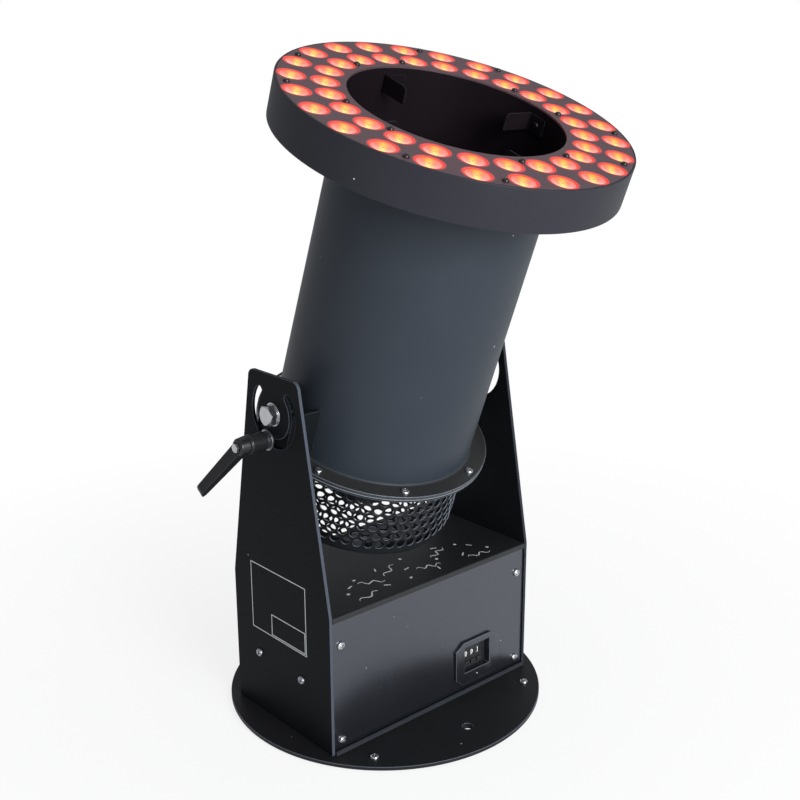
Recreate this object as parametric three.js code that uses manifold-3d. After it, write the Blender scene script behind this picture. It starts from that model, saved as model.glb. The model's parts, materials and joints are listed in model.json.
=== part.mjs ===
// Confetti blower: a barrel with a fan in its lower end and a ring of LEDs round its mouth, which
// tilts between two side plates on a control box and a heavy round base plate.
// Millimetres, +Z up, the front is -Y. The origin is the centre of the base pad's underside.
import * as THREE from "three";
import { mergeVertices } from "three/addons/utils/BufferGeometryUtils.js";
import Module from "manifold-3d";

const wasm = await Module();
wasm.setup();

// Clearances and facets
const gap = 0.3; // air between pieces that touch
const overrun = 4; // how far a cutter runs past what it cuts
const weld = 1e-4; // vertices nearer than this are one
const largeSides = 48;
const middleSides = 20;
const smallSides = 10;

// Base plate and its rubber pad
const padInset = 6; // from the base plate's edge
const padThickness = 1.8;
const plateMargin = 8.75; // outside the corners of the control box
const plateThickness = 3.7;
const boltHoleRadius = 5; // two holes for bolting the base down
const boltHoleInset = 36; // from the base plate's edge

// Control box
const boxDepth = 144;
const boxHeight = 134;
const sideThickness = 3;
const sheet = 1.5; // every folded sheet of the box
const coverLip = 5;
const trayLipProud = 2.5;
const trayLipHeight = 4;
const chassisFlange = 14;

// Side plates above the box
const slotMargin = 5; // from the slot to the edge of the plate where its taper ends
const swingRoom = 14.64; // between the box and the swinging basket's lower edge
const armAboveSlot = 8; // from the top of the slot's centre circle to the top of the plate
const armTopRound = 8;
const armTopSteps = 4;
const slotRadius = 27; // centre line of the arc slot round the pivot
const slotPlay = 0.5; // round the stud
const slotHalfAngle = 130; // degrees, to each side of straight down
const slotSteps = 18;

// Panel screws
const screwHeadRadius = 4;
const screwHeadHeight = 2.2;
const screwShankRadius = 1.8;
const screwShankLength = 7;
const screwInset = 13; // from the side of the box
const screwLow = 11; // above the bottom of the box
const screwBelowTop = 29; // of the box

// Address switch in the front panel
const switchInset = 68.6; // from the right side of the box to the centre of the window
const switchAboveFloor = 34.4;
const windowWidth = 34;
const windowHeight = 27;
const bezelSideMargin = 11.5;
const bezelEndMargin = 9;
const bezelChamferX = 10;
const bezelChamferZ = 7;
const bezelProud = 2.4;
const bezelWall = 1.5;
const bezelDrop = 3; // the bezel's centre below the window's
const recessDepth = 4.6;
const housingDepth = 24;
const wheelCount = 3;
const wheelPitch = 8;
const wheelRadius = 7;
const wheelWidth = 5;
const wheelSides = 20; // two facets to each of ten numbers
const wheelRise = 1.2; // wheel axis above the window's centre
const wheelSetback = 0.5;
const wheelAxleRadius = 1.2;
const digitWindowHeight = 6;
const buttonWidth = 5;
const buttonProud = 2;
const buttonDepth = 1.2; // the part inside its pocket at rest
const buttonTravel = 1.5;
const upperButtonHeight = 2.2;
const upperButtonInset = 1.5; // from the window's edge to the button's centre
const lowerButtonHeight = 4;
const lowerButtonInset = 5.5;

// Sockets in the rear panel
const inletInset = 50; // from the left side of the box
const inletAboveFloor = 34;
const inletWidth = 27;
const inletHeight = 20;
const inletFlange = 2;
const inletWall = 1.4;
const inletDepth = 20;
const inletCavityDepth = 15;
const inletPinWidth = 4;
const inletPinHeight = 2;
const inletPinLength = 11;
const inletPinPitch = 7;
const inletPinRise = 2; // the middle pin above, the outer two below the centre
const signalOutInset = 53; // from the right side of the box
const signalPitch = 42;
const signalAboveFloor = 70;
const signalFlangeWidth = 26;
const signalFlangeHeight = 31;
const signalFlangeThickness = 2.5;
const signalBodyRadius = 11.8;
const signalBodyDepth = 19;
const signalBoreRadius = 9.4;
const signalBoreDepth = 12;
const signalPinRadius = 1.2;
const signalPinCircle = 5;
const signalPinLength = 9;
const signalPins = 3;
const signalPinTurn = 90; // degrees between neighbouring pins

// Power supply and control board inside the box
const supplyWidth = 110;
const supplyDepth = 70;
const supplyHeight = 40;
const supplySideInset = 13; // from the left side of the box
const supplyFrontInset = 19;
const boardSideInset = 19; // from the right side of the box
const boardRearInset = 25;
const boardSupplyRoom = 8;
const boardSwitchRoom = 14.2;
const boardThickness = 1.6;
const boardStandoff = 12;
const standoffRadius = 3.5;
const standoffInset = 6;
const relayWidth = 20;
const relayDepth = 16;
const relayHeight = 15;
const relayCount = 3;
const relayEdge = 12;

// Barrel
const tiltDegrees = 20.5;
const tubeRadius = 94;
const tubeToSide = 28; // room for a trunnion bracket
const tubeWall = 2;
const tubeBelowPivot = 44.8;
const tubeFlangeWidth = 16.8;
const tubeFlangeThickness = 3;

// LED ring round the mouth
const ringTop = 272.4; // above the pivot, along the barrel
const ringHeight = 35.7;
const ringSheet = 1.5;
const ledCount = 24; // in each of two circles
const ledPhase = 9; // degrees
const ledInnerInset = 15.1; // from the tube to the inner circle
const ledCirclePitch = 27.4; // between the circles
const ledOuterInset = 13.9; // from the outer circle to the ring's edge
const ledHoleRadius = 11;
const ledSides = 8;
const lensTopShare = 0.86; // of the lens's lower radius
const lensBelowFace = 2.6;
const lensSheet = 2;
const lensRecess = 0.4;
const lensEdgeInset = 1.5;
const lensInnerInset = 3.5; // from the tube
const ledBoardDrop = 13; // its top below the face plate
const ledBoardThickness = 1.6;
const ledBoardInnerInset = 6; // from the tube
const ledBoardOuterInset = 4.4; // from the ring's edge
const pegCount = 8;
const pegRadius = 3;

// Clips inside the mouth
const clipCount = 4;
const clipReach = 30; // inwards from the wall
const clipHeight = 15;
const clipSheet = 1.5;
const clipFoot = 18;
const clipTopBelowRing = 7;
const clipRound = 5;

// Trunnion brackets, pivot bolts and the clamp
const bracketHalfWidth = 22;
const bracketAbovePivot = 10;
const bracketBelowSlot = 11; // below the stud's axis
const bracketSheet = 3;
const pivotBoltRadius = 5;
const pivotHeadRadius = 9.8;
const pivotHeadHeight = 6.4;
const pivotWasherRadius = 10.5;
const washerThickness = 1.8;
const pivotNutHeight = 8;
const studRadius = 4;
const studNutRadius = 7.5;
const studNutHeight = 6.5;
const guideHeadRadius = 7.2;
const guideHeadHeight = 5.3;
const guideFlangeRadius = 9;
const guideFlangeThickness = 1.6;
const hexSides = 6;

// Clamp lever
const clampWasherRadius = 9.5;
const insertRadius = 6.2;
const insertLength = 22.6;
const insertCollarRadius = 8;
const insertCollarHeight = 2.4;
const studInInsert = 15.5;
const leverHubRadius = 8.8;
const leverHubEndRadius = 7.6;
const leverHubTaper = 9;
const leverHubRim = 1.6; // past the start of the screw's head
const leverWeb = 1.7;
const leverSpringRoom = 4; // for the spring, and for a pull of 3 that frees the teeth
const leverScrewRadius = 2.5;
const leverScrewHeadRadius = 4.5;
const leverScrewHeadHeight = 4.5;
const leverScrewInInsert = 5;
const leverArmReach = 58; // from the stud's axis
const leverArmRise = 21.2; // outwards from the hub
const leverArmRoot = 11;
const leverArmTip = 7;
const leverArmWidthRoot = 12;
const leverArmWidthTip = 9;
const leverArmAngle = 36; // degrees from straight down towards the back

// Fan
const spiderDiscInset = 6; // from the motor's side
const spiderThickness = 3;
const spiderArms = 4;
const spiderArmWidth = 14;
const spiderTabHeight = 18;
const spiderTabThickness = 2.5;
const spiderAboveTubeEnd = 1;
const spiderBore = 9;
const motorRadius = 42;
const motorHeight = 54;
const motorCapInset = 4; // from the motor's side
const motorCapHeight = 10;
const motorCapVents = 6;
const ventRadius = 3;
const ventCircle = 24;
const shaftRadius = 5;
const shaftInMotor = 46;
const shaftAboveSpider = 30;
const impellerAboveSpider = 5;
const impellerHubRadius = 27;
const impellerHubHeight = 28;
const bladeCount = 7;
const bladeTipGap = 1.2; // to the spider's tabs
const bladeChord = 40;
const bladeThickness = 2.4;
const bladeRootPitch = 52; // degrees
const bladeTipPitch = 26;
const bladeSteps = 4;
const guardAboveImpeller = 13.8;
const guardThickness = 2;
const guardRings = 3;
const guardSectors = 6;
const guardBar = 4;
const guardHubRadius = 16;
const guardSlotSteps = 3;

// Intake basket under the barrel
const basketStep = 1; // outside the tube's radius
const basketWall = 1.5;
const basketMotorRoom = 12.4; // below the motor's end cap
const basketFlange = 2.6;
const basketColumns = 32;
const basketRows = 5;
const basketTopBand = 14.8; // from the flange to the highest row
const basketBottomBand = 11; // from the basket's bottom to the lowest row
const basketHoleRadius = 5.4;
const basketHoleSides = 6;
const basketFloorRings = 3; // the floor's radius in steps, with a circle of holes on each but the last
const basketFloorHoles = 8; // on the first circle, and as many more on each further one

// Places worked out from the sizes above
const half = 0.5;
const fullTurn = 2 * Math.PI;
const quarterTurn = fullTurn / 4;
const straightAngle = 180; // degrees
const radians = Math.PI / straightAngle;
const tubeBore = tubeRadius - tubeWall;
const tubeFlangeRadius = tubeRadius + tubeFlangeWidth;
const ledInnerCircle = tubeRadius + ledInnerInset;
const ledOuterCircle = ledInnerCircle + ledCirclePitch;
const pegCircle = (ledInnerCircle + ledOuterCircle) * half;
const ringRadius = ledOuterCircle + ledOuterInset;
const spiderBottom = spiderAboveTubeEnd - tubeBelowPivot;
const spiderTop = spiderBottom + spiderThickness;
const motorTop = spiderBottom - gap;
const motorCapTop = motorTop - motorHeight - gap;
const motorCapBottom = motorCapTop - motorCapHeight;
const impellerBottom = spiderTop + impellerAboveSpider;
const impellerTop = impellerBottom + impellerHubHeight;
const guardBottom = impellerTop + guardAboveImpeller;
const basketRadius = tubeRadius + basketStep;
const basketTop = -tubeBelowPivot - gap;
const basketBottom = motorCapBottom - basketMotorRoom - basketWall;
const boxWidth = 2 * (tubeRadius + tubeToSide + sideThickness);
const pivotAboveBox = Math.hypot(basketBottom, basketRadius) + swingRoom;
const slotWidth = 2 * (studRadius + slotPlay);
const armTopHalf = slotRadius + slotWidth * half + slotMargin;
const armAbovePivot = slotRadius + armAboveSlot;
const bracketBelowPivot = slotRadius + bracketBelowSlot;
const plateRadius = Math.hypot(boxWidth, boxDepth) * half + plateMargin;
const boltHoleDistance = plateRadius - boltHoleInset;
const plateBottom = padThickness + gap;
const plateTop = plateBottom + plateThickness;
const boxBottom = plateTop + gap;
const boxTop = boxBottom + boxHeight;
const boxHalfWidth = boxWidth * half;
const boxHalfDepth = boxDepth * half;
const sideInner = boxHalfWidth - sideThickness; // inner face of a side plate
const innerHalf = sideInner - gap; // what stands between the side plates
const floorTop = boxBottom + sheet;
const coverBottom = boxTop - sheet;
const panelFace = boxHalfDepth - sheet - gap; // outer face of the front and rear panels
const panelBack = panelFace - sheet;
const flangeFace = panelBack - gap;
const pivotHeight = boxTop + pivotAboveBox;
const screwPlaces = [-1, 1].flatMap((side) =>
  [boxBottom + screwLow, boxTop - screwBelowTop].map((z) => [side * (boxHalfWidth - screwInset), z]),
);
const switchX = boxHalfWidth - switchInset;
const switchZ = boxBottom + switchAboveFloor;
const tunnelHalfWidth = windowWidth * half + bezelWall;
const tunnelHalfHeight = windowHeight * half + bezelWall;
const recessFace = recessDepth - panelFace; // y of the switch face inside its recess
const wheelY = recessFace + wheelSetback + wheelRadius;
const wheelZ = switchZ + wheelRise;
const switchBack = recessFace + housingDepth;
const inletX = inletInset - boxHalfWidth;
const inletZ = boxBottom + inletAboveFloor;
const signalOutX = boxHalfWidth - signalOutInset;
const signalInX = signalOutX - signalPitch;
const signalZ = boxBottom + signalAboveFloor;
const ringBottom = ringTop - ringHeight;
const faceBottom = ringTop - ringSheet;
const tubeTop = faceBottom - gap;
const collarRadius = tubeRadius + gap; // inside of the ring casing
const ledBoardTop = faceBottom - ledBoardDrop;
const lensSheetTop = faceBottom - lensBelowFace;
const bracketFace = innerHalf; // outer face of a trunnion bracket

// A closed geometry as a solid that can be joined and cut.
function solid(geometry) {
  const loose = geometry.index ? geometry.toNonIndexed() : geometry;
  const bare = new THREE.BufferGeometry().setAttribute("position", loose.getAttribute("position"));
  const merged = mergeVertices(bare, weld);
  const vertProperties = merged.attributes.position.array;
  const triVerts = new Uint32Array(merged.index.array);
  return new wasm.Manifold(new wasm.Mesh({ numProp: 3, vertProperties, triVerts }));
}

// A solid back as a geometry for a mesh.
function geometryOf(made) {
  const mesh = made.getMesh();
  const geometry = new THREE.BufferGeometry();
  geometry.setAttribute("position", new THREE.BufferAttribute(mesh.vertProperties, 3));
  geometry.setIndex(new THREE.BufferAttribute(mesh.triVerts, 1));
  return geometry.toNonIndexed();
}

function join(first, ...rest) {
  return rest.reduce((made, other) => made.add(other), first);
}

function cut(first, ...rest) {
  return rest.reduce((made, other) => made.subtract(other), first);
}

// A block between two corners, which may come in either order.
function block(xs, ys, zs) {
  const size = [xs, ys, zs].map(([a, b]) => Math.abs(b - a));
  const middle = [xs, ys, zs].map(([a, b]) => (a + b) * half);
  return solid(new THREE.BoxGeometry(...size).translate(...middle));
}

// A cylinder or cone along Z, from low to high, with its axis at x, y.
function rod(radius, low, high, sides = middleSides, x = 0, y = 0, topRadius = radius) {
  const geometry = new THREE.CylinderGeometry(topRadius, radius, high - low, sides);
  return solid(geometry.rotateX(quarterTurn).translate(x, y, (low + high) * half));
}

// A cylinder along X between two places in either order, with its axis at y, z.
function rodX(radius, xs, y, z, sides = middleSides) {
  const [low, high] = [Math.min(...xs), Math.max(...xs)];
  const geometry = new THREE.CylinderGeometry(radius, radius, high - low, sides);
  return solid(geometry.rotateZ(-quarterTurn).translate((low + high) * half, y, z));
}

// A cylinder along Y between two places in either order, with its axis at x, z.
function rodY(radius, ys, x, z, sides = middleSides) {
  const [low, high] = [Math.min(...ys), Math.max(...ys)];
  const geometry = new THREE.CylinderGeometry(radius, radius, high - low, sides);
  return solid(geometry.translate(x, (low + high) * half, z));
}

// A closed profile of [radius, height] points turned about Z.
function turned(profile, sides = largeSides) {
  const points = [...profile, profile[0]].map(([r, z]) => new THREE.Vector2(r, z));
  const area = points.slice(1).reduce((sum, b, i) => sum + points[i].x * b.y - b.x * points[i].y, 0);
  if (area < 0) points.reverse();
  return solid(new THREE.LatheGeometry(points, sides).rotateX(quarterTurn));
}

function ring(inner, outer, low, high, sides = largeSides) {
  return turned([[inner, low], [outer, low], [outer, high], [inner, high]], sides);
}

// A flat outline of [a, b] points given a thickness: along X for "x" with a, b as y, z;
// along -Y for "y" with a, b as x, z; along Z for "z" with a, b as x, y.
function slab(outline, thickness, along) {
  const shape = new THREE.Shape(outline.map(([a, b]) => new THREE.Vector2(a, b)));
  const geometry = new THREE.ExtrudeGeometry(shape, { depth: thickness, bevelEnabled: false });
  const x = new THREE.Vector3(1, 0, 0);
  const y = new THREE.Vector3(0, 1, 0);
  const z = new THREE.Vector3(0, 0, 1);
  const bases = { x: [y, z, x], y: [x, z, y.clone().negate()], z: [x, y, z] };
  return solid(geometry.applyMatrix4(new THREE.Matrix4().makeBasis(...bases[along])));
}

// Points of an arc, both ends included, with angles in degrees.
function arc(radius, from, to, steps, centre = [0, 0]) {
  return Array.from({ length: steps + 1 }, (_, i) => {
    const angle = (from + ((to - from) * i) / steps) * radians;
    return [centre[0] + radius * Math.cos(angle), centre[1] + radius * Math.sin(angle)];
  });
}

// Count places evenly round a circle, as angles in radians.
function around(count, phase = 0) {
  return Array.from({ length: count }, (_, i) => phase * radians + (fullTurn * i) / count);
}

function turnedZ(made, angle) {
  return made.rotate([0, 0, angle / radians]);
}

function paint(color, roughness, metalness) {
  return new THREE.MeshStandardMaterial({ color, roughness, metalness });
}

const powderCoat = paint(0x24262b, 0.5, 0.25);
const castBlack = paint(0x17181b, 0.45, 0.1);
const plasticBlack = paint(0x111214, 0.5, 0);
const rubber = paint(0x141414, 0.9, 0);
const zinc = paint(0xc4c6c8, 0.3, 0.9);
const darkMetal = paint(0x55585c, 0.4, 0.8);
const aluminium = paint(0xa9acb0, 0.35, 0.8);
const numeralWheel = paint(0xe8e8e4, 0.5, 0);
const lensRed = paint(0xff4a22, 0.2, 0);
const boardGreen = paint(0x1d5a38, 0.5, 0);

function piece(group, name, made, material) {
  const mesh = new THREE.Mesh(geometryOf(made), material);
  mesh.name = name;
  group.add(mesh);
}

function buildBase(group) {
  const bolts = (low, high) =>
    [-1, 1].map((end) => rod(boltHoleRadius, low, high, smallSides, 0, end * boltHoleDistance));
  const pad = rod(plateRadius - padInset, 0, padThickness, largeSides);
  piece(group, "base_pad", cut(pad, ...bolts(-overrun, padThickness + overrun)), rubber);
  const plate = rod(plateRadius, plateBottom, plateTop, largeSides);
  piece(group, "base_plate", cut(plate, ...bolts(plateBottom - overrun, plateTop + overrun)), powderCoat);
}

function buildChassis(group) {
  const tray = boxHalfDepth + trayLipProud;
  const parts = [block([-innerHalf, innerHalf], [-tray, tray], [boxBottom, floorTop])];
  const top = coverBottom - gap;
  for (const end of [-1, 1]) {
    const lip = [end * tray, end * (tray - sheet)];
    parts.push(block([-innerHalf, innerHalf], lip, [boxBottom, boxBottom + trayLipHeight]));
    for (const side of [-1, 1]) {
      const flange = [side * innerHalf, side * (innerHalf - chassisFlange)];
      parts.push(block(flange, [end * flangeFace, end * (flangeFace - sheet)], [boxBottom, top]));
    }
  }
  for (const side of [-1, 1]) {
    const wall = [side * innerHalf, side * (innerHalf - sheet)];
    parts.push(block(wall, [-flangeFace, flangeFace], [boxBottom, top]));
  }
  const reach = [-flangeFace - overrun, flangeFace + overrun];
  const holes = screwPlaces.map(([x, z]) => rodY(screwShankRadius + gap, reach, x, z, smallSides));
  piece(group, "chassis", cut(join(...parts), ...holes), powderCoat);
}

// The outline of a side plate in y, z: upright beside the box, then a taper to rounded corners.
function sideOutline() {
  const top = pivotHeight + armAbovePivot;
  const roundY = armTopHalf - armTopRound;
  const corner = arc(armTopRound, 0, 90, armTopSteps, [roundY, top - armTopRound]);
  const right = [[boxHalfDepth, boxBottom], [boxHalfDepth, boxTop], ...corner];
  return [...right, ...right.map(([y, z]) => [-y, z]).reverse()];
}

// The arc slot round the pivot, as an outline in y, z with round ends.
function slotOutline() {
  const straightDown = -90;
  const from = straightDown - slotHalfAngle;
  const to = straightDown + slotHalfAngle;
  const end = slotWidth * half;
  const place = (angle) => [
    slotRadius * Math.cos(angle * radians),
    pivotHeight + slotRadius * Math.sin(angle * radians),
  ];
  const pivot = [0, pivotHeight];
  return [
    ...arc(slotRadius + end, from, to, slotSteps, pivot),
    ...arc(end, to, to + straightAngle, smallSides * half, place(to)).slice(1, -1),
    ...arc(slotRadius - end, to, from, slotSteps, pivot),
    ...arc(end, from + straightAngle, from + 2 * straightAngle, smallSides * half, place(from)).slice(1, -1),
  ];
}

function buildSides(group) {
  for (const [name, side] of [["left", -1], ["right", 1]]) {
    const low = side < 0 ? -boxHalfWidth : sideInner;
    const plate = slab(sideOutline(), sideThickness, "x").translate([low, 0, 0]);
    const slot = slab(slotOutline(), sideThickness + 2 * overrun, "x").translate([low - overrun, 0, 0]);
    const through = [low - overrun, low + sideThickness + overrun];
    const bore = rodX(pivotBoltRadius + gap, through, 0, pivotHeight);
    piece(group, `side_plate_${name}`, cut(plate, slot, bore), powderCoat);
  }
}

function buildPanels(group) {
  const height = [floorTop + gap, coverBottom - gap];
  const wide = [-innerHalf, innerHalf];
  const through = (end) => [end * (panelBack - overrun), end * (panelFace + overrun)];
  const screwHoles = (end) =>
    screwPlaces.map(([x, z]) => rodY(screwShankRadius + gap, through(end), x, z, smallSides));
  const window = block(
    [switchX - tunnelHalfWidth - gap, switchX + tunnelHalfWidth + gap],
    through(-1),
    [switchZ - tunnelHalfHeight - gap, switchZ + tunnelHalfHeight + gap],
  );
  const front = block(wide, [-panelFace, -panelBack], height);
  piece(group, "front_panel", cut(front, window, ...screwHoles(-1)), powderCoat);

  const inletHalf = [inletWidth * half + gap, inletHeight * half + gap];
  const inletHole = block(
    [inletX - inletHalf[0], inletX + inletHalf[0]],
    through(1),
    [inletZ - inletHalf[1], inletZ + inletHalf[1]],
  );
  const signalHoles = [signalInX, signalOutX].map((x) =>
    rodY(signalBodyRadius + gap, through(1), x, signalZ),
  );
  const rear = block(wide, [panelFace, panelBack], height);
  piece(group, "rear_panel", cut(rear, inletHole, ...signalHoles, ...screwHoles(1)), powderCoat);

  const cover = [block(wide, [-boxHalfDepth, boxHalfDepth], [coverBottom, boxTop])];
  for (const end of [-1, 1]) {
    const lip = [end * boxHalfDepth, end * (boxHalfDepth - sheet)];
    cover.push(block(wide, lip, [boxTop - coverLip, boxTop]));
  }
  piece(group, "top_cover", join(...cover), powderCoat);
}

function buildPanelScrews(group) {
  screwPlaces.forEach(([x, z], i) => {
    const seat = -panelFace - gap;
    const head = rodY(screwHeadRadius, [seat, seat - screwHeadHeight], x, z, smallSides);
    const shank = rodY(screwShankRadius, [seat - weld, seat + screwShankLength], x, z, smallSides);
    piece(group, `front_panel_screw_${i + 1}`, join(head, shank), zinc);
  });
}

// The bezel: a raised frame with cut corners and a square tunnel behind its window.
function buildBezel(group) {
  const seat = -panelFace - gap;
  const w = windowWidth * half + bezelSideMargin;
  const h = windowHeight * half + bezelEndMargin;
  const corners = [[w - bezelChamferX, h], [w, h - bezelChamferZ]];
  const rightSide = [...corners, ...corners.map(([x, z]) => [x, -z]).reverse()];
  const outline = [...rightSide, ...rightSide.map(([x, z]) => [-x, z]).reverse()];
  const centreZ = switchZ - bezelDrop;
  const flange = slab(outline.reverse(), bezelProud, "y").translate([switchX, seat, centreZ]);
  const span = (halfWidth, centre) => [centre - halfWidth, centre + halfWidth];
  const tunnel = block(
    span(tunnelHalfWidth, switchX),
    [seat - bezelProud * half, recessFace - gap],
    span(tunnelHalfHeight, switchZ),
  );
  const window = block(
    span(windowWidth * half, switchX),
    [seat - bezelProud - overrun, recessFace + overrun],
    span(windowHeight * half, switchZ),
  );
  piece(group, "switch_bezel", cut(join(flange, tunnel), window), plasticBlack);
}

// The switch behind the bezel: a housing, three numbered wheels on one axle, and two buttons a wheel.
function buildSwitch(group) {
  const columns = Array.from({ length: wheelCount }, (_, i) => i - (wheelCount - 1) * half);
  const span = (halfWidth, centre) => [centre - halfWidth, centre + halfWidth];
  const rows = [
    ["plus", switchZ + windowHeight * half - upperButtonInset, upperButtonHeight],
    ["minus", switchZ - windowHeight * half + lowerButtonInset, lowerButtonHeight],
  ];
  const pocketEnd = recessFace + buttonDepth + buttonTravel + gap;
  let housing = block(
    span(tunnelHalfWidth, switchX), [recessFace, switchBack], span(tunnelHalfHeight, switchZ),
  );
  columns.forEach((column, i) => {
    const x = switchX + column * wheelPitch;
    const slotHalf = wheelWidth * half + gap;
    const room = rodX(wheelRadius + gap, span(slotHalf, x), wheelY, wheelZ);
    const digit = block(
      span(wheelWidth * half, x),
      [recessFace - overrun, wheelY],
      span(digitWindowHeight * half, wheelZ),
    );
    housing = cut(housing, room, digit);
    for (const [name, z, height] of rows) {
      const pocket = block(
        span(buttonWidth * half + gap, x),
        [recessFace - overrun, pocketEnd],
        span(height * half + gap, z),
      );
      housing = cut(housing, pocket);
      const button = block(
        span(buttonWidth * half, x),
        [recessFace - buttonProud, recessFace + buttonDepth],
        span(height * half, z),
      );
      piece(group, `${name}_button_${i + 1}`, button, plasticBlack);
    }
    const wheel = rodX(wheelRadius, span(wheelWidth * half, x), wheelY, wheelZ, wheelSides);
    const bore = rodX(wheelAxleRadius + gap, span(wheelWidth, x), wheelY, wheelZ, smallSides);
    piece(group, `number_wheel_${i + 1}`, cut(wheel, bore), numeralWheel);
  });
  const axleHole = rodX(
    wheelAxleRadius + gap, span(tunnelHalfWidth + overrun, switchX), wheelY, wheelZ, smallSides,
  );
  piece(group, "switch_housing", cut(housing, axleHole), plasticBlack);
  const axle = rodX(wheelAxleRadius, span(tunnelHalfWidth, switchX), wheelY, wheelZ, smallSides);
  piece(group, "wheel_axle", axle, zinc);
}

function buildPowerInlet(group) {
  const seat = panelFace + gap;
  const span = (halfWidth, centre) => [centre - halfWidth, centre + halfWidth];
  const [w, h] = [inletWidth * half, inletHeight * half];
  const inner = seat - inletDepth;
  const cavityEnd = seat + inletFlange - inletCavityDepth;
  const body = join(
    block(span(w + inletFlange, inletX), [seat, seat + inletFlange], span(h + inletFlange, inletZ)),
    block(span(w, inletX), [inner, seat + inletFlange * half], span(h, inletZ)),
  );
  const cavity = block(
    span(w - inletWall, inletX), [cavityEnd, seat + inletFlange + overrun], span(h - inletWall, inletZ),
  );
  const pins = [-1, 0, 1].map((place) =>
    block(
      span(inletPinHeight * half, inletX + place * inletPinPitch),
      [cavityEnd - inletWall, cavityEnd + inletPinLength],
      span(inletPinWidth * half, inletZ + (place ? -inletPinRise * half : inletPinRise * half)),
    ),
  );
  piece(group, "power_inlet", join(cut(body, cavity), ...pins), plasticBlack);
}

// The signal sockets share one shell; one holds pins in a bore, the other has a hole for each pin.
function buildSignalSockets(group) {
  const seat = panelFace + gap;
  const outer = seat + signalFlangeThickness;
  const [w, h] = [signalFlangeWidth * half, signalFlangeHeight * half];
  const shell = (x) =>
    join(
      block([x - w, x + w], [seat, outer], [signalZ - h, signalZ + h]),
      rodY(signalBodyRadius, [seat - signalBodyDepth, seat + signalFlangeThickness * half], x, signalZ),
    );
  const pinRods = (x, radius, ys) =>
    Array.from({ length: signalPins }, (_, i) => {
      const angle = (i * signalPinTurn) * radians;
      const [dx, dz] = [Math.cos(angle) * signalPinCircle, Math.sin(angle) * signalPinCircle];
      return rodY(radius, ys, x + dx, signalZ - dz, smallSides);
    });
  const floor = outer - signalBoreDepth;
  const bore = rodY(signalBoreRadius, [floor, outer + overrun], signalInX, signalZ);
  const pins = pinRods(signalInX, signalPinRadius, [floor - signalPinRadius, floor + signalPinLength]);
  piece(group, "signal_in_socket", join(cut(shell(signalInX), bore), ...pins), darkMetal);
  const holes = pinRods(signalOutX, signalPinRadius + gap, [floor, outer + overrun]);
  piece(group, "signal_out_socket", cut(shell(signalOutX), ...holes), darkMetal);
}

function buildElectronics(group) {
  const ground = floorTop + gap;
  const supplyLeft = supplySideInset - boxHalfWidth;
  const supplyRight = supplyLeft + supplyWidth;
  const supplyFront = supplyFrontInset - boxHalfDepth;
  const supply = block(
    [supplyLeft, supplyRight], [supplyFront, supplyFront + supplyDepth], [ground, ground + supplyHeight],
  );
  piece(group, "power_supply", supply, aluminium);
  const under = ground + boardStandoff;
  const top = under + boardThickness;
  const xs = [supplyRight + boardSupplyRoom, boxHalfWidth - boardSideInset];
  const ys = [switchBack + boardSwitchRoom, boxHalfDepth - boardRearInset];
  let board = block(xs, ys, [under, top]);
  for (const x of [xs[0] + standoffInset, xs[1] - standoffInset]) {
    for (const y of [ys[0] + standoffInset, ys[1] - standoffInset]) {
      board = join(board, rod(standoffRadius, ground, under + weld, smallSides, x, y));
    }
  }
  const relayPitch = (xs[1] - xs[0] - relayWidth - 2 * relayEdge) / (relayCount - 1);
  const relayFront = (ys[0] + ys[1] - relayDepth) * half;
  for (let i = 0; i < relayCount; i++) {
    const x = xs[0] + relayEdge + i * relayPitch;
    board = join(board, block([x, x + relayWidth], [relayFront, relayFront + relayDepth],
      [top - weld, top + relayHeight]));
  }
  piece(group, "control_board", board, boardGreen);
}

// The barrel: a tube with a flange welded round its lower end.
function buildTube(group) {
  const low = -tubeBelowPivot;
  const flangeTop = low + tubeFlangeThickness;
  const tube = turned([
    [tubeBore, low],
    [tubeFlangeRadius, low],
    [tubeFlangeRadius, flangeTop],
    [tubeRadius, flangeTop],
    [tubeRadius, tubeTop],
    [tubeBore, tubeTop],
  ]);
  piece(group, "barrel_tube", tube, powderCoat);
}

// The places of the LEDs on the ring's face.
function ledPlaces() {
  return [ledOuterCircle, ledInnerCircle].flatMap((radius) =>
    around(ledCount, ledPhase).map((angle) => [radius * Math.cos(angle), radius * Math.sin(angle)]),
  );
}

function pegPlaces(phase) {
  return around(pegCount, phase).map((angle) => [pegCircle * Math.cos(angle), pegCircle * Math.sin(angle)]);
}

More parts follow.
